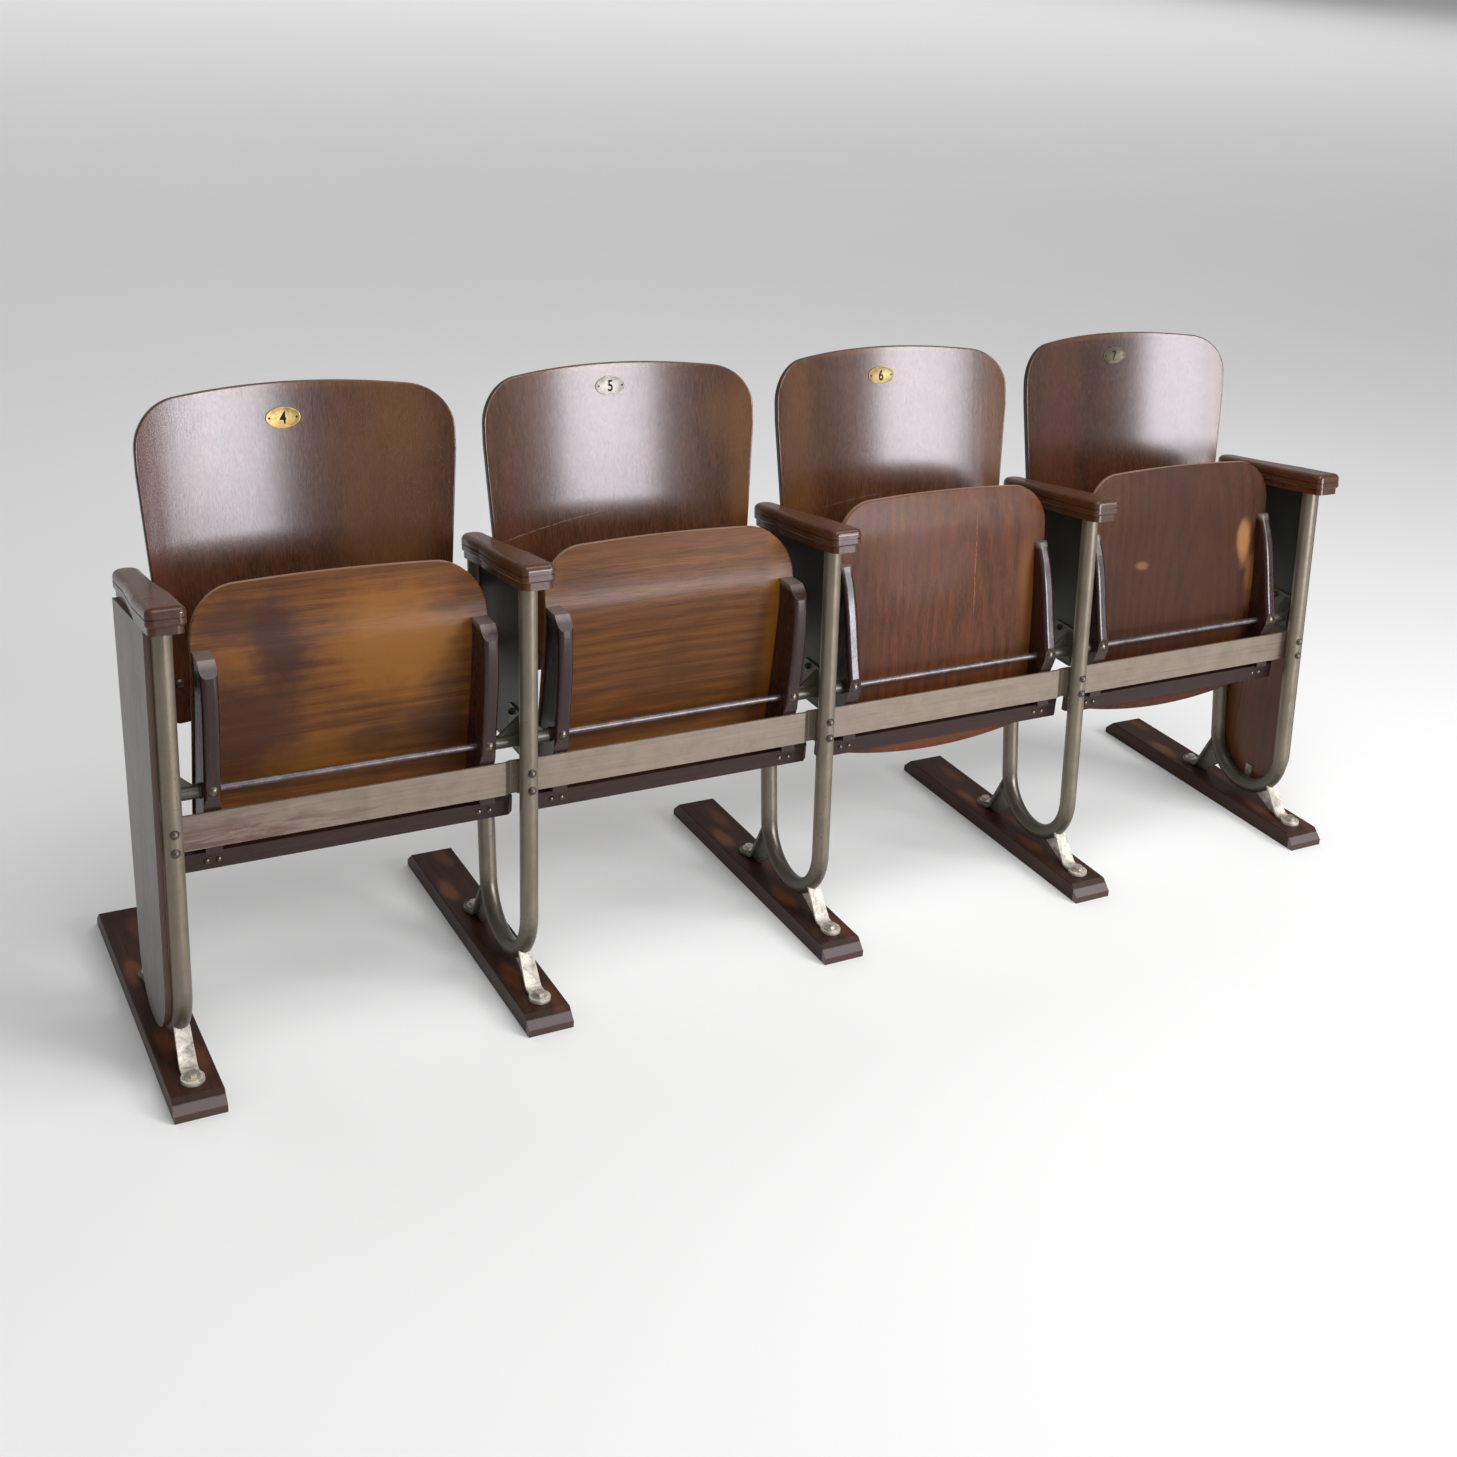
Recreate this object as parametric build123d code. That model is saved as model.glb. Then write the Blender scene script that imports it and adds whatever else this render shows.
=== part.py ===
from build123d import *
import os
from math import asin, atan2, cos, degrees, radians, sin, sqrt, tan

# A row of tip-up cinema seats. X runs along the row, the seats face -Y, and Z is up.
# The origin is on the floor, under the middle of the row. Lengths are in millimetres, angles in
# degrees, and a table whose name ends in shares holds shares of the lengths named beside it.

# The row
seat_count = 4
pitch = 500.0  # from one standard's middle plane to the next
overrun = 60.0  # how far a cutting tool runs past what it cuts
weld_gap = 0.1  # left between pieces that are welded or glued face to face
ply_round = 2.0  # along the edges of plywood sheets
hole_gap = 0.15  # between a screw's or bolt's side and its hole

# Wooden skids
skid_width = 70.0
skid_length = 536.0
skid_height = 28.0
skid_lip = 10.0  # upright part of each end
skid_bevel = 19.0  # length of the slope on each end
skid_edge = 1.5  # worn long edges

# Bent tube of a standard
tube_diameter = 27.0
tube_wall = 2.6
bend_radius = 83.0  # of the tube's middle line
bend_offset = 88.6  # from the skid's middle forward to the bend's middle
bend_clearance = 8.5  # between skid and tube
front_lean = 5.2
rear_lean = 9.5

# Foot irons
flange_width = 24.0
flange_thickness = 5.0
web_thickness = 6.0
lug_width = 32.0
lug_thickness = 6.0
lug_heel = 22.0  # how far a lug runs in under its web
front_screw_reach = 221.0  # from the skid's middle
front_toe_reach = 197.0
front_head_angle = 35.0
front_web_angle = 70.0
rear_screw_reach = 52.0
rear_toe_reach = 32.0
rear_head_angle = 10.0
rear_web_angle = 50.0
foot_screw_diameter = 8.0
foot_screw_bite = 18.0  # depth in the skid
foot_screw_head = 13.0
foot_screw_head_height = 5.5
foot_washer_diameter = 22.0
foot_washer_thickness = 2.0

# Armrests
arm_front_height = 646.0  # underside over the front leg
arm_slope = 8.8  # falls to the rear
arm_front_width = 52.0
arm_rear_width = 38.0
arm_nose_reach = 45.0  # along the arm, in front of the front leg
arm_wide_reach = 46.0  # behind the front leg, still full width
arm_narrow_reach = 138.0  # behind the front leg, down to the rear width
arm_rear_reach = 228.0
arm_slab = 25.0  # thickness of the upper part
arm_step = 3.0  # how far the lower moulding stands back
arm_moulding = 11.0  # thickness of the lower moulding
arm_round = 9.0
arm_groove_height = 9.5  # of the groove's lower edge above the slab's underside
arm_groove_width = 1.6
arm_groove_depth = 1.2
arm_moulding_round = 2.5
arm_corner = 10.0  # corners of the nose, seen from above
arm_socket = 12.0  # depth that the tube ends go into the wood
socket_gap = 0.3
socket_spare = 1.5  # left in the socket above the tube

# Side sheets
sheet_thickness = 2.0
sheet_bottom = 377.0
sheet_flange_width = 15.0
sheet_strap_gap = 4.0
arm_screw_diameter = 4.0
arm_screw_bite = 14.0
arm_screw_head = 8.0
arm_screw_head_height = 2.5
arm_screw_shares = (0.2, 0.5, 0.8)  # of the flange's length

# End panels and their clips
panel_thickness = 8.5
panel_gap = 0.3  # between tube and panel
clip_thickness = 3.0
clip_width = 16.0
clip_reach = 34.0  # from the tube's middle line to the clip's end
clip_drop = 84.0  # of the two upper clips' middles, below the armrest's seat on the front leg
clip_screw_inset = 8.0
clip_screw_diameter = 3.5
clip_screw_bite = 6.0
clip_screw_head = 7.0
clip_screw_head_height = 2.2

# Straps between the standards
strap_height = 355.0  # of the middle, on the front leg
strap_width = 50.0
strap_thickness = 4.0
strap_lap = 20.0  # past the standard's middle plane, behind the next strap
strap_start = 12.0  # past the standard's middle plane, at the plain end
joggle_start = 30.0  # before the standard's middle plane
joggle_run = 8.0
strap_bolt_spacing = 26.5
strap_bolt_diameter = 8.0
strap_bolt_head = 13.0
strap_bolt_head_height = 5.0
nut_height = 6.5
nut_width = 13.0
bolt_tail = 2.0  # past the nut

# Hinges of the seats
axis_reach = 116.0  # hinge axis in front of the skid's middle
axis_height = 403.0
rod_diameter = 10.0
rod_running_gap = 0.08
rod_end_gap = 3.0  # between rod and base plate
eye_diameter = 20.0
eye_end = 42.0  # from the standard's middle plane
base_plate_thickness = 3.0
base_plate_front = 12.0  # in front of the axis
base_plate_rear = 36.0  # behind the axis
base_plate_low = 18.0  # below the axis
base_plate_high = 43.0  # above the axis
gusset_thickness = 4.0
gusset_out = 36.0  # reach from the standard's middle plane
gusset_low_height = 9.0  # of its outer end above the axis
gusset_high_height = 38.0  # of its inner end above the axis
bracket_bolt_diameter = 6.0
bracket_bolt_head = 10.0
bracket_bolt_head_height = 4.0
bracket_bolt_inset = 10.0  # from the base plate's rear and short edges
washer_diameter = 22.0
washer_thickness = 1.6

# Seat rails, boards and panels, common to both makes
rail_thickness = 23.0
rail_offset = 45.0  # from the standard's middle plane to a rail's outer face
rail_round = 7.0  # along the front edges
stop_gap = 0.7  # between lowered rail and strap
notch_gap = 1.4  # between lowered rail and the strap's front edge
rest_gap = 0.4  # between folded rail and strap
board_height = 26.0
board_bottom_drop = 115.0  # below the hinge axis
board_front_reach = 9.0  # in front of the hinge axis
board_depth = 16.0
board_offset = 10.0  # from the standard's middle plane to the board's end
board_chamfer = 9.0
board_gap = 3.0  # from the rails' shoulder down to the board
panel_ply = 8.0
panel_foot_corner = 12.0
rod_rail_gap = 0.05
panel_screw_diameter = 4.0
panel_screw_length = 20.0
panel_screw_head = 8.0
panel_screw_sink = 2.4
panel_screw_shares = (0.19, 0.44, 0.72)  # of the panel's height
board_screw_diameter = 4.0
board_screw_bite = 5.5  # into the rail
board_screw_head = 9.0
board_screw_head_height = 3.0
board_screw_spread = 8.0
knob_diameter = 15.0
knob_height = 3.5
knob_rise = 7.0  # above the hinge axis
knob_screw_diameter = 5.0
knob_screw_bite = 12.0

# Seats one and two: wide panel, deep rails with blunt tops, straight lower edge
wide_half_width = 207.0
wide_panel_drop = 110.0
wide_panel_rise = 268.0
wide_corner = 70.0
wide_crown = 7.0
wide_bow = 0.0
wide_set_back = 40.0
wide_panel_shares = (
    (-0.05, 1.0), (0.15, 0.98), (0.34, 0.82), (0.5, 0.7), (0.64, 0.62), (0.77, 0.68), (0.88, 1.02),
    (1.04, 1.74),
)
wide_rail_rise = 188.0
wide_rail_depth = 28.0
wide_rail_shares = ((1.0, 0.1), (0.9, 0.8), (0.66, 1.0), (0.36, 1.0), (0.19, 0.94))

# Seats three and four: tall panel, slim rails with rounded tops, bowed lower edge
tall_half_width = 203.0
tall_panel_drop = 122.0
tall_panel_rise = 289.0
tall_corner = 66.0
tall_crown = 8.0
tall_bow = 25.0
tall_set_back = 40.0
tall_panel_shares = (
    (-0.08, 0.38), (0.24, 0.47), (0.35, 0.56), (0.46, 0.67), (0.57, 0.8), (0.67, 0.96), (0.77, 1.08),
    (0.88, 1.26), (1.04, 1.76),
)
tall_rail_rise = 190.0
tall_rail_depth = 24.0
tall_rail_shares = ((1.0, -1.42), (0.84, -0.76), (0.62, -0.13), (0.38, 0.38), (0.2, 0.78))

# Backs
back_bottom_height = 425.0
back_bottom_reach = 41.0  # behind the skid's middle, at the widest place's side edge
back_lean = 10.6
back_length = 468.0  # along the lean
back_low_half_width = 203.0
back_high_half_width = 228.0
back_widest = 360.0  # along the lean
back_corner = 70.0
back_crown = 20.0
back_foot_corner = 14.0
back_hollow = 42.0  # depth of the hollow across the widest place
back_ply = 10.0

# Back brackets
bracket_shares = (0.3, 0.82)  # of the height from the back's lower edge to the armrest
bracket_width = 25.0
bracket_thickness = 4.0
bracket_flat = 15.0  # half width of the part behind the tube
bracket_arm = 34.0  # length of the part behind the back
back_bolt_inset = 14.0  # from the back's side edge
back_bolt_diameter = 6.0
back_bolt_head = 12.0
back_bolt_head_height = 3.0
back_nut_height = 5.0
back_nut_width = 10.0

# Number plates
plate_length = 50.0
plate_height = 30.0
plate_thickness = 1.0
plate_places = ((-14.0, 51.0), (-3.0, 36.0), (-3.0, 48.0), (0.0, 41.0))  # right of the middle, below the top

# Worked out from the sizes above
tube_radius = tube_diameter / 2
standard_count = seat_count + 1
standards = [(number - seat_count / 2) * pitch for number in range(standard_count)]
seats = [(number - (seat_count - 1) / 2) * pitch for number in range(seat_count)]
bend_y = -bend_offset
bend_z = skid_height + bend_clearance + tube_radius + bend_radius
axis_y = -axis_reach
front_way = (sin(radians(front_lean)), cos(radians(front_lean)))
rear_way = (sin(radians(rear_lean)), cos(radians(rear_lean)))
arm_way = (cos(radians(arm_slope)), -sin(radians(arm_slope)))
board_top_drop = board_bottom_drop - board_height


# Lines in a side view are a point and a direction, each as (y, z)
def front_line(behind=0):
    """The front leg's middle line, or one that lies behind it."""
    reach = bend_radius - behind
    return (bend_y - reach * front_way[1], bend_z + reach * front_way[0]), front_way


def rear_line(before=0):
    """The rear leg's middle line, or one that lies in front of it."""
    reach = bend_radius - before
    return (bend_y + reach * rear_way[1], bend_z - reach * rear_way[0]), rear_way


def level(height):
    return (0, height), (1, 0)


def meet(one, other):
    """The point where two lines of a side view cross."""
    (y_one, z_one), (run_one, rise_one) = one
    (y_other, z_other), (run_other, rise_other) = other
    across = run_one * rise_other - rise_one * run_other
    share = ((y_other - y_one) * rise_other - (z_other - z_one) * run_other) / across
    return (y_one + share * run_one, z_one + share * rise_one)


arm_seat = meet(front_line(), level(arm_front_height))


def arm_line(below=0):
    """The armrests' underside, or a line that lies below it."""
    return (arm_seat[0] + below * arm_way[1], arm_seat[1] - below * arm_way[0]), arm_way


# Arms: local Y runs along the arm to the rear, local Z is square to it, zero at the underside
arm_plane = Plane((0, arm_seat[0], arm_seat[1]), x_dir=(1, 0, 0), z_dir=(0, -arm_way[1], arm_way[0]))
strap_seat = meet(front_line(), level(strap_height))
strap_plane = Plane((0, strap_seat[0], strap_seat[1]), x_dir=(1, 0, 0), z_dir=(0, front_way[0], front_way[1]))


def side_face(points):
    """A flat face in the plane X = 0, from its corners as (y, z)."""
    return Plane.YZ * make_face(Polyline(*points, close=True))


def side_slab(points, thickness, start=None):
    """A plate square to X: centred on X = 0, or from X = start on."""
    if start is None:
        return extrude(side_face(points), thickness / 2, both=True)
    return Pos(X=start) * extrude(side_face(points), thickness)


def at_all(places, piece):
    """Copies of one piece along the row."""
    return [Pos(X=place) * piece for place in places]


def solids_of(shapes):
    return [solid for shape in shapes for solid in shape.solids()]


def hexagon(width, height):
    """A bolt head or nut with the given width across its flats."""
    return extrude(RegularPolygon(width / 2, 6, major_radius=False), height)


def dome(diameter, height):
    """A round head that stands on the plane Z = 0."""
    ball = (diameter * diameter / 4 + height * height) / (2 * height)
    cap = Pos(Z=height - ball) * Sphere(ball)
    return cap & Pos(Z=ball) * Box(2 * ball, 2 * ball, 2 * ball)


def shank(diameter, length):
    """A shank that hangs below the plane Z = 0."""
    return Pos(Z=-length / 2) * Cylinder(diameter / 2, length)


def sunk_screw(diameter, length, head, sink):
    """A countersunk wood screw whose head is flush with the plane Z = 0."""
    profile = [(0, 0), (head / 2, 0), (diameter / 2, -sink), (diameter / 2, -length), (0, -length)]
    return revolve(Plane.XZ * make_face(Polyline(*profile, close=True)), Axis.Z)


def rounded_rim(sheet, thickness):
    """Rounds the long edges of a plywood sheet, and not the short ones across its thickness."""
    return fillet([edge for edge in sheet.edges() if edge.length > 2 * thickness], ply_round)


# Skids
def skid():
    half = skid_length / 2
    shoulder = half - skid_bevel
    outline = [(-half, 0), (-half, skid_lip), (-shoulder, skid_height)]
    outline += [(shoulder, skid_height), (half, skid_lip), (half, 0)]
    block = side_slab(outline, skid_width)
    long_edges = block.edges().filter_by(Axis.Y).group_by(Axis.Z)[-1]
    return chamfer(long_edges, skid_edge)


# Standards
def tube_stock(radius):
    """A round bar along the tube's middle line, cut off inside the armrest."""
    front_top = meet(front_line(), arm_line(-arm_socket - overrun))
    rear_top = meet(rear_line(), arm_line(-arm_socket - overrun))
    front_end = front_line()[0]
    rear_end = rear_line()[0]
    leg = Line((0, *front_top), (0, *front_end))
    bend = ThreePointArc((0, *front_end), (0, bend_y, bend_z - bend_radius), (0, *rear_end))
    other_leg = Line((0, *rear_end), (0, *rear_top))
    path = Wire([leg.edge(), bend.edge(), other_leg.edge()])
    bar = sweep(Plane(path @ 0, z_dir=path % 0) * Circle(radius), path=path)
    reach = 2 * (arm_rear_reach + overrun)
    above = Pos(Z=arm_socket + reach / 2) * Box(reach, reach, reach)
    return bar - arm_plane * above


def bolt_places():
    """Where bolts cross tube and straps, as heights along the front leg."""
    return (-strap_bolt_spacing / 2, strap_bolt_spacing / 2)


def strap_bolt_hole(radius):
    reach = tube_diameter + overrun
    bar = Rot(X=90) * Cylinder(radius, 2 * reach)
    return [strap_plane * Pos(Z=height) * bar for height in bolt_places()]


def standard_tube():
    tube = tube_stock(tube_radius) - tube_stock(tube_radius - tube_wall)
    for hole in strap_bolt_hole(strap_bolt_diameter / 2 + hole_gap):
        tube -= hole_half(hole)
    for plane in bracket_planes():
        bore = Rot(X=90) * Cylinder(back_bolt_diameter / 2 + hole_gap, tube_diameter)
        tube -= plane * Pos(Y=tube_radius) * bore
    return tube


def hole_half(hole):
    """Keeps a cross hole of the front leg clear of the rear leg."""
    reach = bend_radius + overrun
    block = Pos(Y=bend_y - reach / 2, Z=strap_height) * Box(reach, reach, 2 * reach)
    return hole & block


# Foot irons
def foot_iron(side, screw_reach, toe_reach, head_angle, web_angle, envelope):
    """The iron under the front leg, side -1, or under the rear leg, side 1."""
    lug_top = skid_height + lug_thickness
    toe = (side * toe_reach, lug_top)
    head = bend_point(side, head_angle)
    run, rise = head[0] - toe[0], head[1] - toe[1]
    length = sqrt(run * run + rise * rise)
    inward = (-side * rise / length * flange_thickness, side * run / length * flange_thickness)
    heel = (toe[0] - side * lug_heel, lug_top)
    inner_toe = (toe[0] - side * flange_thickness, skid_height + weld_gap)
    inner_head = (head[0] + inward[0], head[1] + inward[1])
    toe_foot = (toe[0], skid_height + weld_gap)
    heel_foot = (heel[0], skid_height + weld_gap)
    flange = side_slab([toe, head, inner_head, inner_toe, toe_foot], flange_width)
    web_head = bend_point(side, web_angle)
    web = side_slab([toe, head, web_head, heel, heel_foot, toe_foot], web_thickness)
    lug_middle = side * screw_reach
    lug_height = skid_height + weld_gap + lug_thickness / 2
    lug_length = abs(lug_middle - heel[0])
    bar_middle = (lug_middle + heel[0]) / 2
    bar = Pos(Y=bar_middle, Z=lug_height) * Box(flange_width, lug_length, lug_thickness)
    end = Pos(Y=lug_middle, Z=lug_height) * Cylinder(lug_width / 2, lug_thickness)
    iron = flange + web + bar + end - envelope
    hole = Cylinder(foot_screw_diameter / 2 + hole_gap, lug_thickness + overrun)
    return iron - Pos(Y=lug_middle, Z=lug_height) * hole


def bend_point(side, angle):
    """A point of the bend's middle line, by its angle below the level."""
    return (bend_y + side * bend_radius * cos(radians(angle)), bend_z - bend_radius * sin(radians(angle)))


def foot_screw():
    """Hexagon screw and washer, standing on the lug."""
    washer = Pos(Z=foot_washer_thickness / 2) * Cylinder(foot_washer_diameter / 2, foot_washer_thickness)
    washer -= Cylinder(foot_screw_diameter / 2 + hole_gap, overrun)
    length = foot_washer_thickness + lug_thickness + weld_gap + foot_screw_bite
    screw = hexagon(foot_screw_head, foot_screw_head_height) + shank(foot_screw_diameter, length)
    lug_top = skid_height + weld_gap + lug_thickness
    return Pos(Z=lug_top) * washer, Pos(Z=lug_top + foot_washer_thickness) * screw


def foot_screw_places():
    return (-front_screw_reach, rear_screw_reach)


def skid_with_holes():
    wood = skid()
    depth = foot_screw_bite + hole_gap
    for place in foot_screw_places():
        wood -= Pos(Y=place, Z=skid_height) * shank(foot_screw_diameter + 2 * hole_gap, depth)
    return wood


# Straps
def strap(start, end, joggled):
    """A flat bar between two standards, on the rear of their front legs."""
    near = tube_radius + weld_gap
    first = start - strap_start
    if joggled:
        ramp = end - joggle_start
        last = end + strap_lap
        bent = near + strap_thickness + weld_gap
        front = [(first, near), (ramp, near), (ramp + joggle_run, bent), (last, bent)]
    else:
        last = end + strap_start
        front = [(first, near), (last, near)]
    rear = [(x, y + strap_thickness) for x, y in reversed(front)]
    outline = strap_plane * make_face(Polyline(*front, *rear, close=True))
    return extrude(outline, strap_width / 2, both=True)


def strap_bolt(layers):
    """Round-headed bolt from the front through tube and straps, with its nut."""
    grip = tube_diameter + weld_gap + layers * (strap_thickness + weld_gap)
    length = grip + nut_height + bolt_tail
    bolt = dome(strap_bolt_head, strap_bolt_head_height) + shank(strap_bolt_diameter, length)
    nut = hexagon(nut_width, nut_height) - Cylinder(strap_bolt_diameter / 2 + hole_gap, overrun)
    pieces = [bolt, Pos(Z=-grip - nut_height) * nut]
    turned = [Pos(Y=-tube_radius) * Rot(X=90) * piece for piece in pieces]
    return [strap_plane * Pos(Z=height) * piece for height in bolt_places() for piece in turned]


# Side sheets
def strap_top():
    """The upper front corner of a strap on the legs."""
    reach = tube_radius + weld_gap
    rise = strap_width / 2
    return (
        strap_seat[0] + reach * front_way[1] + rise * front_way[0],
        strap_seat[1] - reach * front_way[0] + rise * front_way[1],
    )


def sheet_corners():
    """Front top, rear top, rear bottom, middle bottom and front bottom."""
    front = front_line(tube_radius + weld_gap)
    rear = rear_line(tube_radius + weld_gap)
    low_front = meet(front, level(strap_top()[1] + sheet_strap_gap))
    low_middle = meet(front_line(tube_radius + 2 * strap_thickness + sheet_strap_gap), level(sheet_bottom))
    low_rear = meet(rear, level(sheet_bottom))
    under_arm = arm_line(weld_gap)
    return [meet(front, under_arm), meet(rear, under_arm), low_rear, low_middle, low_front]


def side_sheet(side):
    """Sheet with a flange under the arm, turned to X = side."""
    corners = sheet_corners()
    sheet = side_slab(corners, sheet_thickness)
    below = weld_gap + sheet_thickness
    front_low = meet(front_line(tube_radius + weld_gap), arm_line(below))
    rear_low = meet(rear_line(tube_radius + weld_gap), arm_line(below))
    strip = side_slab([corners[0], corners[1], rear_low, front_low], 2 * sheet_flange_width)
    half = Pos(X=side * overrun) * Box(2 * overrun, skid_length, 2 * arm_front_height)
    sheet += strip & Pos(Z=arm_front_height) * half
    for place in arm_screw_places(side):
        sheet -= place * Cylinder(arm_screw_diameter / 2 + hole_gap, 4 * sheet_thickness)
    for place in bracket_bolt_places():
        sheet -= place * Cylinder(bracket_bolt_diameter / 2 + hole_gap, 4 * sheet_thickness)
    return sheet


def arm_screw_places(side):
    """On the flange's underside, turned so that local Z points down."""
    front, rear = sheet_corners()[0], sheet_corners()[1]
    length = sqrt((rear[0] - front[0]) ** 2 + (rear[1] - front[1]) ** 2)
    start = tube_radius + weld_gap
    across = side * (sheet_flange_width + sheet_thickness / 2) / 2
    depth = weld_gap + sheet_thickness
    return [
        arm_plane * Pos(across, start + share * length, -depth) * Rot(X=180) for share in arm_screw_shares
    ]


def arm_screw():
    length = sheet_thickness + weld_gap + arm_screw_bite
    return dome(arm_screw_head, arm_screw_head_height) + shank(arm_screw_diameter, length)


# Armrests
def arm_outline(inset):
    """The armrest seen from above, local Y to the rear."""
    front = arm_front_width / 2 - inset
    rear = arm_rear_width / 2 - inset
    nose = -arm_nose_reach + inset
    tail = arm_rear_reach - inset
    spring = tail - rear
    corner = arm_corner
    points = [(front, nose + corner), (front, arm_wide_reach), (rear, arm_narrow_reach), (rear, spring)]
    right = Polyline(*points)
    end = ThreePointArc((rear, spring), (0, tail), (-rear, spring))
    left = Polyline(*[(-x, y) for x, y in reversed(points)])
    diagonal = corner * sqrt(0.5)
    inner = front - corner
    knee = nose + corner
    near_left = ThreePointArc((-front, knee), (-inner - diagonal, knee - diagonal), (-inner, nose))
    nose_line = Line((-inner, nose), (inner, nose))
    near_right = ThreePointArc((inner, nose), (inner + diagonal, knee - diagonal), (front, knee))
    return make_face([right, end, left, near_left, nose_line, near_right])


def arm_bore(line):
    """The blind hole for a tube's end, along the leg."""
    top = meet(line, arm_line(-arm_socket - socket_spare))
    run, rise = line[1]
    place = Plane((0, top[0], top[1]), x_dir=(1, 0, 0), z_dir=(0, run, rise))
    return place * shank(tube_diameter + 2 * socket_gap, overrun)


def armrest(side):
    slab = Pos(Z=arm_moulding) * extrude(arm_outline(0), arm_slab)
    slab = fillet(slab.edges().group_by(Axis.Z)[-1], arm_round)
    slab = fillet(slab.edges().group_by(Axis.Z)[0], arm_moulding_round)
    ring = extrude(arm_outline(-arm_groove_depth), arm_groove_width)
    ring -= extrude(arm_outline(arm_groove_depth), arm_groove_width)
    slab -= Pos(Z=arm_moulding + arm_groove_height) * ring
    moulding = extrude(arm_outline(arm_step), arm_moulding)
    arm = arm_plane * (slab + moulding)
    for line in (front_line(), rear_line()):
        arm -= arm_bore(line)
    for place in arm_screw_places(side):
        arm -= place * shank(arm_screw_diameter + 2 * hole_gap, arm_screw_bite + 2 * sheet_thickness)
    return arm


# End panels
def end_panel(side):
    front_top = meet(front_line(), arm_line(weld_gap))
    rear_top = meet(rear_line(), arm_line(weld_gap))
    front_end = front_line()[0]
    rear_end = rear_line()[0]
    outline = make_face(
        [
            Line(front_top, front_end),
            ThreePointArc(front_end, (bend_y, bend_z - bend_radius), rear_end),
            Line(rear_end, rear_top),
            Line(rear_top, front_top),
        ]
    )
    panel = extrude(Plane.YZ * outline, panel_thickness)
    near = tube_radius + panel_gap
    panel = Pos(X=near if side > 0 else -near - panel_thickness) * panel
    depth = clip_thickness + clip_screw_bite + hole_gap
    for place in clip_screws(side):
        panel -= place * shank(clip_screw_diameter + 2 * hole_gap, depth)
    return panel


def clip_lines():
    """The clips' middle lines in the side view: a point on the tube and the way in from it."""
    bottom = ((bend_y, bend_z - bend_radius), (0, 1))
    upper = level(arm_front_height - clip_drop)
    front = (meet(front_line(), upper), (1, 0))
    rear = (meet(rear_line(), upper), (-1, 0))
    return [bottom, front, rear]


def clips(side, envelope):
    pieces = []
    for (y, z), (run, rise) in clip_lines():
        across = (-rise * clip_width / 2, run * clip_width / 2)
        tip = (y + run * clip_reach, z + rise * clip_reach)
        corners = [(y + across[0], z + across[1]), (y - across[0], z - across[1])]
        corners += [(tip[0] - across[0], tip[1] - across[1]), (tip[0] + across[0], tip[1] + across[1])]
        near = tube_radius + panel_gap - weld_gap
        start = near - clip_thickness if side > 0 else -near
        pieces.append(side_slab(corners, clip_thickness, start) - envelope)
    for number, place in enumerate(clip_screws(side)):
        pieces[number] -= place * Cylinder(clip_screw_diameter / 2 + hole_gap, overrun / 2)
    return pieces


def clip_screws(side):
    """On the clips' inner faces, local Z pointing away from the panel."""
    height = tube_radius + panel_gap - weld_gap - clip_thickness
    turn = Rot(Y=-90 * side)
    places = []
    for (y, z), (run, rise) in clip_lines():
        reach = clip_reach - clip_screw_inset
        places.append(Pos(side * height, y + run * reach, z + rise * reach) * turn)
    return places


def clip_screw():
    length = clip_thickness + weld_gap + clip_screw_bite
    return dome(clip_screw_head, clip_screw_head_height) + shank(clip_screw_diameter, length)


# Hinge brackets
def hinge_bracket():
    """Base plate, gusset and eye, standing on the plane X = 0 of a sheet's face."""
    low, high = axis_height - base_plate_low, axis_height + base_plate_high
    front, rear = axis_y - base_plate_front, axis_y + base_plate_rear
    outline = [(front, low), (rear, low), (rear, high), (front, high)]
    plate = side_slab(outline, base_plate_thickness, weld_gap)
    inner = weld_gap + base_plate_thickness
    outer = gusset_out - sheet_thickness / 2
    corners = [(inner, axis_height), (outer, axis_height), (outer, axis_height + gusset_low_height)]
    corners += [(inner, axis_height + gusset_high_height)]
    gusset = extrude(Plane.XZ * make_face(Polyline(*corners, close=True)), gusset_thickness / 2, both=True)
    eye_length = eye_end - sheet_thickness / 2 - weld_gap
    eye = Rot(Y=90) * Cylinder(eye_diameter / 2, eye_length)
    eye = Pos(X=weld_gap + eye_length / 2, Y=axis_y, Z=axis_height) * eye
    reach = 2 * eye_length
    bore = Rot(Y=90) * Cylinder(rod_diameter / 2 + rod_running_gap, reach)
    bracket = plate + Pos(Y=axis_y) * gusset + eye
    bracket -= Pos(X=inner + reach / 2, Y=axis_y, Z=axis_height) * bore
    for place in bracket_bolt_places():
        bracket -= place * Cylinder(bracket_bolt_diameter / 2 + hole_gap, overrun)
    return bracket


def bracket_bolt_places():
    """Through the rear edge of the base plates, local Z along X."""
    rear = axis_y + base_plate_rear - bracket_bolt_inset
    low = axis_height - base_plate_low + bracket_bolt_inset
    high = axis_height + base_plate_high - bracket_bolt_inset
    return [Pos(Y=rear, Z=height) * Rot(Y=90) for height in (low, high)]


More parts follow.
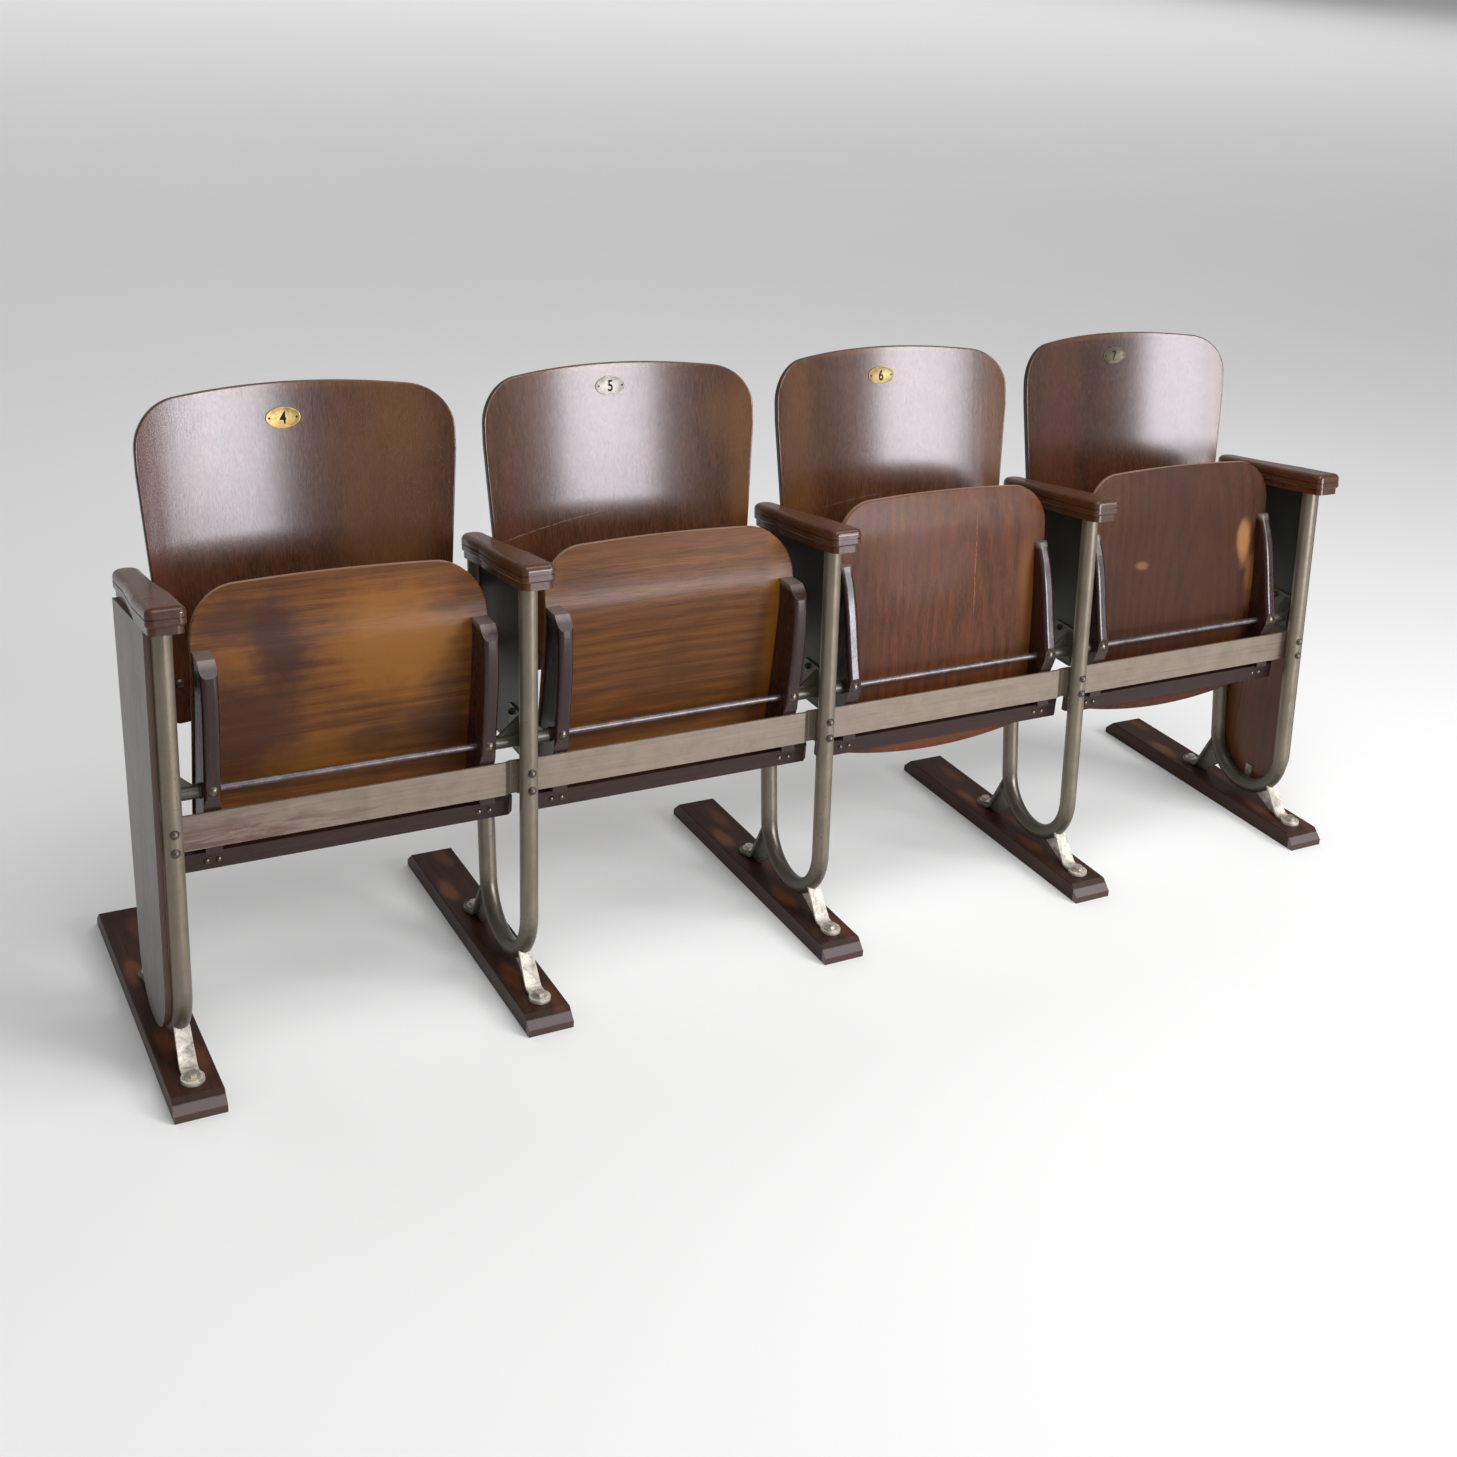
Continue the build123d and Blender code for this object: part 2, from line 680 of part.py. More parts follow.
def bracket_bolts(left, right):
    """Bolts and nuts through the sheet, with a bracket on its left, its right or both sides."""
    plate = weld_gap + base_plate_thickness
    over = sheet_thickness / 2 + (plate if right else weld_gap)
    under = sheet_thickness / 2 + (plate if left else weld_gap)
    length = over + under + back_nut_height + bolt_tail
    head = dome(bracket_bolt_head, bracket_bolt_head_height)
    bolt = Pos(Z=over) * (head + shank(bracket_bolt_diameter, length))
    nut = hexagon(back_nut_width, back_nut_height) - Cylinder(bracket_bolt_diameter / 2 + hole_gap, overrun)
    nut = Pos(Z=-under - back_nut_height) * nut
    return [place * piece for place in bracket_bolt_places() for piece in (bolt, nut)]


# Backs: local Z runs up along the lean, local Y to the rear
back_plane = Plane(
    (0, back_bottom_reach, back_bottom_height),
    x_dir=(1, 0, 0),
    z_dir=(0, sin(radians(back_lean)), cos(radians(back_lean))),
)
half_chord = back_high_half_width
front_radius = (half_chord * half_chord + back_hollow * back_hollow) / (2 * back_hollow)


def bent_ply(near, far):
    """The space between two depths behind the back's front face, before its outline is cut."""
    centre = back_hollow - front_radius
    block = Cylinder(front_radius + far, 2 * back_length) - Cylinder(front_radius + near, 2 * back_length)
    reach = 3 * back_high_half_width
    behind = Pos(Y=reach / 2 - back_hollow) * Box(reach, reach, 3 * back_length)
    return (Pos(Y=centre) * block) & behind


def back_outline():
    """The back seen from the front."""
    low, high, top = back_low_half_width, back_high_half_width, back_length
    shoulder = top - back_crown
    right = [(low, 0), (high, back_widest), (high, shoulder)]
    left = [(-x, y) for x, y in reversed(right)]
    sides = Polyline(*left, *right)
    crown = ThreePointArc((high, shoulder), (0, top), (-high, shoulder))
    face = make_face([sides, crown])
    upper = face.vertices().group_by(Axis.Y)[-1]
    face = fillet(upper, back_corner)
    lower = face.vertices().group_by(Axis.Y)[0]
    return fillet(lower, back_foot_corner)


def through_cut(face, depth):
    """A face of the front view, drawn through the piece from front to rear."""
    return extrude(Plane.XZ * face, depth, both=True)


def back():
    ply = rounded_rim(bent_ply(0, back_ply) & through_cut(back_outline(), 2 * back_hollow), back_ply)
    for place in back_bolt_places():
        ply -= place * Cylinder(back_bolt_diameter / 2 + hole_gap, overrun)
    return back_plane * ply


def back_bolt_x():
    return back_low_half_width - back_bolt_inset


def bracket_levels():
    """The brackets' places along the back's lean."""
    room = meet(rear_line(), arm_line())[1] - back_bottom_height
    return [share * room / cos(radians(back_lean)) for share in bracket_shares]


def back_bolt_places():
    """On the back's front face, local Z pointing forward, in the back's own frame."""
    places = []
    angle = degrees(asin(back_bolt_x() / front_radius))
    for z in bracket_levels():
        for side in (-1, 1):
            centre = Pos(Y=back_hollow - front_radius, Z=z) * Rot(Z=-side * angle)
            places.append(centre * Pos(Y=front_radius) * Rot(X=90))
    return places


def bracket_planes():
    """One for each bracket: origin on the rear leg's middle line, square to the back's lean."""
    lean = radians(back_lean)
    planes = []
    for z in bracket_levels():
        y = back_bottom_reach + z * sin(lean)
        point = meet(rear_line(), ((y, back_bottom_height + z * cos(lean)), (cos(lean), -sin(lean))))
        planes.append(Plane((0, point[0], point[1]), x_dir=(1, 0, 0), z_dir=(0, sin(lean), cos(lean))))
    return planes


def bracket_rest():
    """How far behind the leg's middle line a bracket lies, clear of the tube over its width."""
    twist = abs(radians(rear_lean - back_lean))
    return tube_radius / cos(twist) + bracket_width / 2 * tan(twist) + weld_gap


def back_bracket(plane, z, arms):
    """A bent bar behind the rear leg, with an arm for each back beside it."""
    local_y = Vector(0, plane.origin.Y - back_plane.origin.Y, plane.origin.Z - back_plane.origin.Z)
    depth = local_y.dot(back_plane.y_dir)
    rear_radius = front_radius + back_ply + weld_gap
    bolt_x = back_bolt_x() * rear_radius / front_radius
    bolt_y = back_hollow - front_radius + sqrt(rear_radius * rear_radius - bolt_x * bolt_x) - depth
    slope = bolt_x / sqrt(rear_radius * rear_radius - bolt_x * bolt_x)
    middle = pitch / 2 - bolt_x
    near = (bracket_flat, bracket_rest())
    inner = (middle - bracket_arm / 2, bolt_y - slope * bracket_arm / 2)
    outer = (middle + bracket_arm / 2, bolt_y + slope * bracket_arm / 2)
    right = [near, inner, outer]
    left = [(-x, y) for x, y in reversed(right)]
    if arms == "left":
        front = left + [near]
    elif arms == "right":
        front = [left[-1]] + right
    else:
        front = left + right
    rear = [(x, y + bracket_thickness) for x, y in reversed(front)]
    bar = extrude(make_face(Polyline(*front, *rear, close=True)), bracket_width / 2, both=True)
    bar -= Rot(X=90) * Cylinder(back_bolt_diameter / 2 + hole_gap, overrun + tube_diameter)
    return plane * bar


def back_bolt(grip):
    """Round-headed bolt and its nut, head just above the plane Z = 0."""
    length = grip + weld_gap + back_nut_height + bolt_tail
    bolt = dome(back_bolt_head, back_bolt_head_height) + shank(back_bolt_diameter, length)
    nut = hexagon(back_nut_width, back_nut_height) - Cylinder(back_bolt_diameter / 2 + hole_gap, overrun)
    return [Pos(Z=weld_gap) * bolt, Pos(Z=-grip - weld_gap - back_nut_height) * nut]


def tube_screw():
    """Holds a bracket to the rear leg, head on the bracket's rear face."""
    length = bracket_rest() + bracket_thickness - tube_radius + tube_wall + bolt_tail
    screw = dome(back_bolt_head, back_bolt_head_height) + shank(back_bolt_diameter, length)
    return Pos(Y=bracket_rest() + bracket_thickness) * Rot(X=-90) * screw


def number_plate(across, drop):
    oval = make_face(Ellipse(plate_length / 2, plate_height / 2).edges())
    face = Pos(across, back_length - drop) * oval
    plate = bent_ply(-plate_thickness - weld_gap, -weld_gap)
    return back_plane * (plate & through_cut(face, 2 * back_hollow))


# Seats: worked out in the frame of the hinge axis, as (y behind the axis, z above it)
class SeatMake:
    """The sizes in which the two makes of seat differ."""

    def __init__(self, half_width, drop, rise, corner, crown, bow, set_back, panel_shares, rail):
        self.half_width = half_width
        self.drop = drop
        self.rise = rise
        self.corner = corner
        self.crown = crown
        self.bow = bow
        self.set_back = set_back
        self.panel_shares = panel_shares
        self.rail_rise, self.rail_depth, self.rail_shares = rail

    def front_points(self, behind=0):
        """Points of the panel's front face, as (y, z), or of a face behind it."""
        height = self.drop + self.rise
        points = [(depth * self.set_back, level * height - self.drop) for level, depth in self.panel_shares]
        moved = []
        for number, (y, z) in enumerate(points):
            before = points[max(number - 1, 0)]
            after = points[min(number + 1, len(points) - 1)]
            run, rise = after[0] - before[0], after[1] - before[1]
            length = sqrt(run * run + rise * rise)
            moved.append((y + behind * rise / length, z - behind * run / length))
        return moved

    def face_at(self, z, behind=0):
        """Depth and tilt of that face at a height, between its points."""
        points = self.front_points(behind)
        for (y_low, z_low), (y_high, z_high) in zip(points, points[1:]):
            if z <= z_high:
                break
        slope = (y_high - y_low) / (z_high - z_low)
        return y_low + (z - z_low) * slope, degrees(atan2(slope, 1))


wide_make = SeatMake(
    wide_half_width, wide_panel_drop, wide_panel_rise, wide_corner, wide_crown, wide_bow, wide_set_back,
    wide_panel_shares, (wide_rail_rise, wide_rail_depth, wide_rail_shares),
)
tall_make = SeatMake(
    tall_half_width, tall_panel_drop, tall_panel_rise, tall_corner, tall_crown, tall_bow, tall_set_back,
    tall_panel_shares, (tall_rail_rise, tall_rail_depth, tall_rail_shares),
)
makes = [wide_make if number < seat_count / 2 else tall_make for number in range(seat_count)]


def seat_frame(piece, seat_x):
    """Moves a piece from the hinge axis's frame to its seat."""
    return Pos(seat_x, axis_y, axis_height) * piece


def panel_outline(make):
    low, high = -make.drop, make.rise
    shoulder = high - make.crown
    half = make.half_width
    sides = Polyline((half, low), (half, shoulder))
    other = Polyline((-half, shoulder), (-half, low))
    crown = ThreePointArc((half, shoulder), (0, high), (-half, shoulder))
    if make.bow > 0:
        foot = ThreePointArc((-half, low), (0, low - make.bow), (half, low))
    else:
        foot = Line((-half, low), (half, low))
    face = make_face([sides, crown, other, foot])
    feet = [vertex for vertex in face.vertices() if abs(vertex.Y - low) < panel_foot_corner]
    face = fillet(feet, panel_foot_corner)
    return fillet([vertex for vertex in face.vertices() if vertex.Y > shoulder - panel_foot_corner], make.corner)


def panel_blank(make, near, far):
    """The bent sheet before its outline is cut, between two depths behind the front face."""
    front = make.front_points(near)
    rear = make.front_points(far)
    outline = [Spline(*front), Line(front[-1], rear[-1]), Spline(*reversed(rear)), Line(rear[0], front[0])]
    reach = 2 * make.half_width
    return Pos(X=-reach) * extrude(Plane.YZ * make_face(outline), 2 * reach)


def seat_panel(make):
    panel = panel_blank(make, 0, panel_ply) & through_cut(panel_outline(make), skid_length)
    return rounded_rim(panel, panel_ply) - panel_screws(make, hole_gap)


def panel_screws(make, gap):
    """Countersunk screws from the sitting face into the rails, or the holes for them."""
    screws = []
    height = make.drop + make.rise
    diameter, head = panel_screw_diameter + 2 * gap, panel_screw_head + 2 * gap
    screw = sunk_screw(diameter, panel_screw_length + gap, head, panel_screw_sink + gap)
    for share in panel_screw_shares:
        z = share * height - make.drop
        y, tilt = make.face_at(z, panel_ply)
        for side in (-1, 1):
            place = Pos(side * rail_middle(), y, z) * Rot(X=-90 - tilt)
            screws.append(place * Pos(Z=gap) * screw)
    return screws


def rail_middle():
    return pitch / 2 - rail_offset - rail_thickness / 2


def rail_waist():
    """How far a rail reaches in front of the axis, so that it comes down on the strap."""
    return axis_height - strap_top()[1] - stop_gap


def rail_stop_line():
    """The line that a folded rail keeps behind the strap."""
    return front_line(tube_radius + weld_gap + strap_thickness + rest_gap)


def rail_face(make):
    """The rail's side view, in the axis's frame."""
    waist = rail_waist()
    (stop_y, stop_z), way = rail_stop_line()
    stop = ((stop_y - axis_y, stop_z - axis_height), way)
    corner = meet(stop, level(strap_top()[1] - axis_height))
    shoulder = meet(stop, level(-board_top_drop + board_gap))
    board_rear = -board_front_reach + board_depth + weld_gap
    front = [(-share_y * make.rail_depth, share_z * make.rail_rise) for share_z, share_y in make.rail_shares]
    rear = make.set_back + panel_ply
    notch = axis_y - strap_top()[0] + notch_gap
    steps = [front[-1], (-waist, notch), (-waist, 0), corner, shoulder]
    steps += [(board_rear, shoulder[1]), (board_rear, -board_bottom_drop), (rear, -board_bottom_drop)]
    steps += [(rear, make.rail_rise), front[0], front[1]]
    return make_face([Spline(*front[1:]), Polyline(*steps)])


def seat_rail(make):
    rail = extrude(Plane.YZ * rail_face(make), rail_thickness / 2, both=True)
    rail = fillet(rail.edges().filter_by(GeomType.BSPLINE), rail_round)
    rail -= panel_blank(make, -weld_gap, overrun)
    rail -= Rot(Y=90) * Cylinder(rod_diameter / 2 + rod_rail_gap, 2 * rail_thickness)
    return rail


def rails(make):
    pieces = [Pos(X=side * rail_middle()) * seat_rail(make) for side in (-1, 1)]
    holes = panel_screws(make, hole_gap) + board_screws(hole_gap) + knob_screws(hole_gap)
    return [piece - holes for piece in pieces]


def board_place():
    """Middle of the cross board's front face."""
    return (-board_front_reach, -board_bottom_drop + board_height / 2)


def cross_board():
    half = pitch / 2 - board_offset
    front, rear = -board_front_reach, -board_front_reach + board_depth
    corners = [(-half + board_chamfer, front), (half - board_chamfer, front), (half, front + board_chamfer)]
    corners += [(half, rear), (-half, rear), (-half, front + board_chamfer)]
    board = extrude(make_face(Polyline(*corners, close=True)), board_height / 2, both=True)
    board = Pos(Z=board_place()[1]) * board
    for hole in board_screws(hole_gap):
        board -= hole
    return board


def board_screws(gap):
    """Two round-headed screws through the board into each rail, or the holes for them."""
    y, z = board_place()
    hole = shank(board_screw_diameter + 2 * gap, board_depth + weld_gap + board_screw_bite + gap)
    screw = hole if gap else hole + dome(board_screw_head, board_screw_head_height)
    places = [
        Pos(side * rail_middle() + across, y, z) * Rot(X=90)
        for side in (-1, 1)
        for across in (-board_screw_spread, board_screw_spread)
    ]
    return [place * screw for place in places]


def knob_screws(gap):
    """The round heads on the rails' fronts by the axle, or the holes for them."""
    hole = shank(knob_screw_diameter + 2 * gap, knob_screw_bite + gap)
    knob = hole if gap else hole + dome(knob_diameter, knob_height)
    return [Pos(side * rail_middle(), -rail_waist(), knob_rise) * Rot(X=90) * knob for side in (-1, 1)]


def rail_washers():
    """Washers between the rails and the eyes."""
    washer = Cylinder(washer_diameter / 2, washer_thickness)
    washer -= Cylinder(rod_diameter / 2 + rod_running_gap, overrun)
    room = rail_offset - eye_end
    reach = pitch / 2 - rail_offset + room / 2
    return [Pos(X=side * reach) * Rot(Y=90) * washer for side in (-1, 1)]


def axle_rod():
    reach = sheet_thickness / 2 + weld_gap + base_plate_thickness + rod_end_gap
    return Rot(Y=90) * Cylinder(rod_diameter / 2, pitch - 2 * reach)


# All nodes: each name stands for the solids of one node
def all_nodes():
    nodes = {}
    envelope = tube_stock(tube_radius + weld_gap)
    tube = standard_tube()
    wood = skid_with_holes()
    for number, x in enumerate(standards, 1):
        side = 1 if number <= seat_count else -1
        nodes[f"skid_{number}"] = [Pos(X=x) * wood]
        nodes[f"standard_tube_{number}"] = [Pos(X=x) * tube]
        nodes[f"side_sheet_{number}"] = [Pos(X=x) * side_sheet(side)]
        nodes[f"armrest_{number}"] = [Pos(X=x) * armrest(side)]
    front_sizes = (front_screw_reach, front_toe_reach, front_head_angle, front_web_angle)
    rear_sizes = (rear_screw_reach, rear_toe_reach, rear_head_angle, rear_web_angle)
    front_iron = foot_iron(-1, *front_sizes, envelope)
    rear_iron = foot_iron(1, *rear_sizes, envelope)
    nodes["foot_irons"] = at_all(standards, front_iron) + at_all(standards, rear_iron)
    screws = [Pos(Y=place) * piece for place in foot_screw_places() for piece in foot_screw()]
    nodes["foot_screws"] = [copy for piece in screws for copy in at_all(standards, piece)]
    add_straps(nodes)
    add_hinges(nodes)
    add_backs(nodes)
    add_ends(nodes, envelope)
    for number, (x, make) in enumerate(zip(seats, makes), 1):
        nodes[f"seat_panel_{number}"] = [seat_frame(seat_panel(make), x)]
        nodes[f"seat_rails_{number}"] = [seat_frame(piece, x) for piece in rails(make)]
        nodes[f"cross_board_{number}"] = [seat_frame(cross_board(), x)]
        nodes[f"axle_rod_{number}"] = [seat_frame(axle_rod(), x)]
        small = panel_screws(make, 0) + board_screws(0) + knob_screws(0) + rail_washers()
        nodes[f"seat_fasteners_{number}"] = [seat_frame(piece, x) for piece in small]
    return nodes


def add_straps(nodes):
    bolts = []
    holes = strap_bolt_hole(strap_bolt_diameter / 2 + hole_gap)
    for number in range(1, seat_count + 1):
        start, end = standards[number - 1], standards[number]
        bar = strap(start, end, joggled=number < seat_count)
        for x in (start, end):
            for hole in holes:
                bar -= Pos(X=x) * hole
        nodes[f"strap_{number}"] = [bar]
    for number, x in enumerate(standards):
        layers = 2 if 0 < number < seat_count else 1
        bolts += [Pos(X=x) * piece for piece in strap_bolt(layers)]
    nodes["strap_bolts"] = bolts


def add_hinges(nodes):
    right = Pos(X=sheet_thickness / 2) * hinge_bracket()
    left = mirror(right, Plane.YZ)
    nodes["hinge_brackets"] = at_all(standards[:-1], right) + at_all(standards[1:], left)
    bolts = []
    for number, x in enumerate(standards):
        pieces = bracket_bolts(left=number > 0, right=number < seat_count)
        bolts += [Pos(X=x) * piece for piece in pieces]
    nodes["bracket_bolts"] = bolts


def add_backs(nodes):
    shell = back()
    for number, x in enumerate(seats, 1):
        nodes[f"back_{number}"] = [Pos(X=x) * shell]
    plates = [number_plate(*plate_places[number % len(plate_places)]) for number in range(seat_count)]
    nodes["number_plates"] = [Pos(X=x) * plate for x, plate in zip(seats, plates)]
    grip = back_ply + weld_gap + bracket_thickness
    pieces = [back_plane * place * piece for place in back_bolt_places() for piece in back_bolt(grip)]
    bolts = [copy for piece in pieces for copy in at_all(seats, piece)]
    brackets = []
    hole = Cylinder(back_bolt_diameter / 2 + hole_gap, overrun)
    holes = [back_plane * place * hole for place in back_bolt_places()]
    for number, x in enumerate(standards):
        arms = "right" if number == 0 else "left" if number == seat_count else "both"
        for plane, z in zip(bracket_planes(), bracket_levels()):
            bar = Pos(X=x) * back_bracket(plane, z, arms)
            for seat_x in (x - pitch / 2, x + pitch / 2):
                for bore in holes:
                    bar -= Pos(X=seat_x) * bore
            brackets.append(bar)
            bolts.append(Pos(X=x) * (plane * tube_screw()))
    nodes["back_brackets"] = brackets
    nodes["back_bolts"] = bolts


def add_ends(nodes, envelope):
    screws = []
    for number, x in enumerate(standards, 1):
        side = 1 if number <= seat_count else -1
        screws += [Pos(X=x) * (place * arm_screw()) for place in arm_screw_places(side)]
    nodes["armrest_screws"] = screws
    small = []
    for name, x, side in (("end_panel_left", standards[0], -1), ("end_panel_right", standards[-1], 1)):
        nodes[name] = [Pos(X=x) * end_panel(side)]
        small += [Pos(X=x) * piece for piece in clips(side, envelope)]
        small += [Pos(X=x) * (place * clip_screw()) for place in clip_screws(side)]
    nodes["end_panel_clips"] = small


def write_all():
    os.makedirs("parts", exist_ok=True)
    for name, shapes in all_nodes().items():
        solids = solids_of(shapes)
        export_step(solids[0] if len(solids) == 1 else Compound(solids), f"parts/{name}.step")


write_all()
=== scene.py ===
"""Dresses a row of four tip-up cinema seats: worn varnished wood, taupe tube, straps and bare castings."""

import math

import bmesh
import bpy
from bpy.props import FloatProperty, FloatVectorProperty, PointerProperty, StringProperty
from bpy.types import Operator, Panel, PropertyGroup
from mathutils import Matrix, Vector


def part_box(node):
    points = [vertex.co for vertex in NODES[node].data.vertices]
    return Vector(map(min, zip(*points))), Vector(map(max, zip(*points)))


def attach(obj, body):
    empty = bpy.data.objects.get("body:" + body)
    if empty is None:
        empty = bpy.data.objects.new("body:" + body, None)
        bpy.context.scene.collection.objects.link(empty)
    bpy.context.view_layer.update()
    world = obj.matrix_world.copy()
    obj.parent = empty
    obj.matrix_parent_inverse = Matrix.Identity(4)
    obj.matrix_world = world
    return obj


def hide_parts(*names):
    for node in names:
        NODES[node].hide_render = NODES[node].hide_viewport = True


bl_info = {
    "name": "Cinema Seat Row",
    "version": (1, 0, 0),
    "blender": (4, 5, 0),
    "location": "3D Viewport > Sidebar > Cinema Seats",
    "description": "Finishes, foot castings and number plates of a row of tip-up cinema seats",
    "category": "Object",
}

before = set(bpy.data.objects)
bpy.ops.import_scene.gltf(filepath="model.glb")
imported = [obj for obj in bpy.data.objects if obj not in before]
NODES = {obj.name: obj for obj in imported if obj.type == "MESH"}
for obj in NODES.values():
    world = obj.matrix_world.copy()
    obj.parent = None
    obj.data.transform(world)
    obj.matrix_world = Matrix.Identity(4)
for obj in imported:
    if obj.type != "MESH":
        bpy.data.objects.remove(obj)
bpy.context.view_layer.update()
SEATS = range(1, 5)
STANDARDS = range(1, 6)
MM = 0.001

# The photograph's camera, fitted to the five standards
PHOTO_PIXELS = 1457
FOCAL_PIXELS = 1832.5
CENTRE_PIXELS = (754.8, 556.4)
SENSOR_MM = 36.0
CAMERA_PLACE = (-1.4373, -2.3436, 1.5745)
CAMERA_TURN = (70.119, -4.203, -28.852)

# Places shared with the part, in millimetres
PITCH = 500.0
SKID_TOP = 28.1
BACK_FOOT = (41.0, 425.0)
BACK_LEAN = 10.6
BACK_HOLLOW = 42.0
BACK_RADIUS = 639.9
BACK_LENGTH = 468.0
PLATE_PLACES = ((-14.0, 51.0), (-3.0, 36.0), (-3.0, 48.0), (0.0, 41.0))


def size(name, default, about, low=0.0, high=1.0):
    """A length that a user may change."""
    return FloatProperty(name=name, description=about, default=default, min=low, max=high, unit="LENGTH", precision=4)


def shade(name, default, about):
    """A colour that a user may change."""
    return FloatVectorProperty(
        name=name, description=about, default=default, size=3, min=0.0, max=1.0, subtype="COLOR"
    )


class CinemaWood(PropertyGroup):
    """Colours of the varnished woods."""

    back: shade("Backs", (0.078, 0.028, 0.0115), "Middle tone of the walnut backs")
    wide_seat: shade("Wide seats", (0.165, 0.058, 0.013), "Middle tone of the two wide seat panels")
    tall_seat: shade("Tall seats", (0.125, 0.038, 0.0115), "Middle tone of the two tall seat panels")
    rail: shade("Rails", (0.034, 0.0125, 0.01), "Dark wood of the seat rails")
    board: shade("Cross boards", (0.038, 0.014, 0.0095), "Dark wood of the cross boards")
    arm: shade("Armrests", (0.092, 0.032, 0.014), "Middle tone of the armrests")
    skid: shade("Skids", (0.036, 0.0145, 0.009), "Middle tone of the skids")
    end: shade("End panels", (0.13, 0.05, 0.02), "Middle tone of the end panels")
    left_end: shade("Left end panel", (0.058, 0.047, 0.034), "Dark outer end panel at the left")
    # Also the colour of the painted highlight along the top edge of the backs
    worn: shade("Worn veneer", (0.42, 0.19, 0.065), "Veneer where the varnish has rubbed off")
    stain: shade("Stains", (0.026, 0.014, 0.009), "Dark stains in the varnish")


class CinemaMetal(PropertyGroup):
    """Colours of the metals and their paint."""

    tube: shade("Tubes", (0.2, 0.168, 0.124), "Taupe paint of the bent tubes")
    # Near black: the sheets' dark grey-green paint, darkened further as painted shade
    sheet: shade("Side sheets", (0.022, 0.024, 0.019), "Dark paint of the side sheets")
    strap: shade("Straps", (0.215, 0.168, 0.126), "Greige paint of the long straps")
    bracket: shade("Brackets", (0.085, 0.075, 0.055), "Paint of hinge and back brackets")
    casting: shade("Foot castings", (0.6, 0.555, 0.48), "Rubbed face of the foot castings")
    bolt: shade("Bolts", (0.1, 0.083, 0.066), "Dark bolts and screws")
    knob: shade("Rail screws", (0.11, 0.083, 0.066), "Round-headed screws on the rails")
    rod: shade("Rods", (0.12, 0.1, 0.1), "Grey hinge rods")
    plate_1: shade("Plate 1", (0.42, 0.28, 0.085), "Brass of the first number plate")
    plate_2: shade("Plate 2", (0.46, 0.43, 0.38), "Silvery metal of the second number plate")
    plate_3: shade("Plate 3", (0.24, 0.175, 0.06), "Olive brass of the third number plate")
    plate_4: shade("Plate 4", (0.06, 0.05, 0.027), "Tarnished brass of the fourth number plate")


class CinemaFoot(PropertyGroup):
    """Sizes of a foot casting."""

    strip_width: size("Strip width", 0.024, "Width of the sloping strip at its toe")
    head_width: size("Head width", 0.021, "Width of the sloping strip where it meets the tube")
    strip_thickness: size("Strip thickness", 0.005, "Thickness of the sloping strip")
    rim_width: size("Rim width", 0.0024, "Width of the raised edge along the strip")
    rim_depth: size("Rim depth", 0.0009, "How far the strip's face lies below its edge")
    lug_width: size("Lug width", 0.032, "Diameter of the round lug")
    lug_thickness: size("Lug thickness", 0.006, "Thickness of the lug")
    web_thickness: size("Web thickness", 0.006, "Thickness of the web behind the strip")
    bead: size("Weld bead", 0.0024, "Radius of the weld where the casting meets the tube")
    softness: size("Edge softness", 0.0008, "Rounding of the cast edges")


class CinemaPlate(PropertyGroup):
    """Sizes of a number plate, and the four numbers."""

    length: size("Length", 0.05, "Long diameter of the oval")
    height: size("Height", 0.03, "Short diameter of the oval")
    thickness: size("Thickness", 0.0009, "Thickness of the plate's field")
    rim: size("Rim width", 0.0016, "Width of the raised rim")
    rim_rise: size("Rim rise", 0.0006, "How far the rim stands above the field")
    digit: size("Number height", 0.0175, "Height of the number")
    nail: size("Nail", 0.0016, "Radius of the nails' heads")
    numbers: StringProperty(name="Numbers", description="One number for each seat, left to right", default="4567")


class CinemaStage(PropertyGroup):
    """Floor and light."""

    floor: shade("Floor", (0.9, 0.9, 0.9), "Pale floor")
    sky: FloatProperty(name="Soft light", description="Strength of the light from all round", default=0.3, min=0.0)
    window: FloatProperty(name="Windows", description="Power of the windows that the varnish mirrors", default=290.0, min=0.0, unit="POWER")
    key: FloatProperty(name="Main light", description="Power of the light from the right", default=105.0, min=0.0, unit="POWER")
    overhead: FloatProperty(name="Overhead", description="Power of the light from above", default=60.0, min=0.0, unit="POWER")


# Shader maths, written as sums
class Wire:
    """An output socket that can be added, multiplied and compared as a number."""

    def __init__(self, finish, socket):
        self.finish = finish
        self.socket = socket

    def maths(self, operation, *others):
        return self.finish.node("ShaderNodeMath", {"operation": operation}, self, *others)

    def __add__(self, other):
        return self.maths("ADD", other)

    __radd__ = __add__

    def __sub__(self, other):
        return self.maths("SUBTRACT", other)

    def __rsub__(self, other):
        return self.finish.node("ShaderNodeMath", {"operation": "SUBTRACT"}, other, self)

    def __mul__(self, other):
        return self.maths("MULTIPLY", other)

    __rmul__ = __mul__

    def __truediv__(self, other):
        return self.maths("DIVIDE", other)

    def __abs__(self):
        return self.maths("ABSOLUTE")

    def __pow__(self, other):
        return self.maths("POWER", other)

    def sine(self):
        return self.maths("SINE")

    def least(self, other):
        return self.maths("MINIMUM", other)

    def ramp(self, low, high):
        """0 below low, 1 above high and smooth between; low may be the larger."""
        settings = {"interpolation_type": "SMOOTHSTEP"}
        if low < high:
            return self.finish.node("ShaderNodeMapRange", settings, self, low, high, 0.0, 1.0)
        return self.finish.node("ShaderNodeMapRange", settings, self, high, low, 1.0, 0.0)


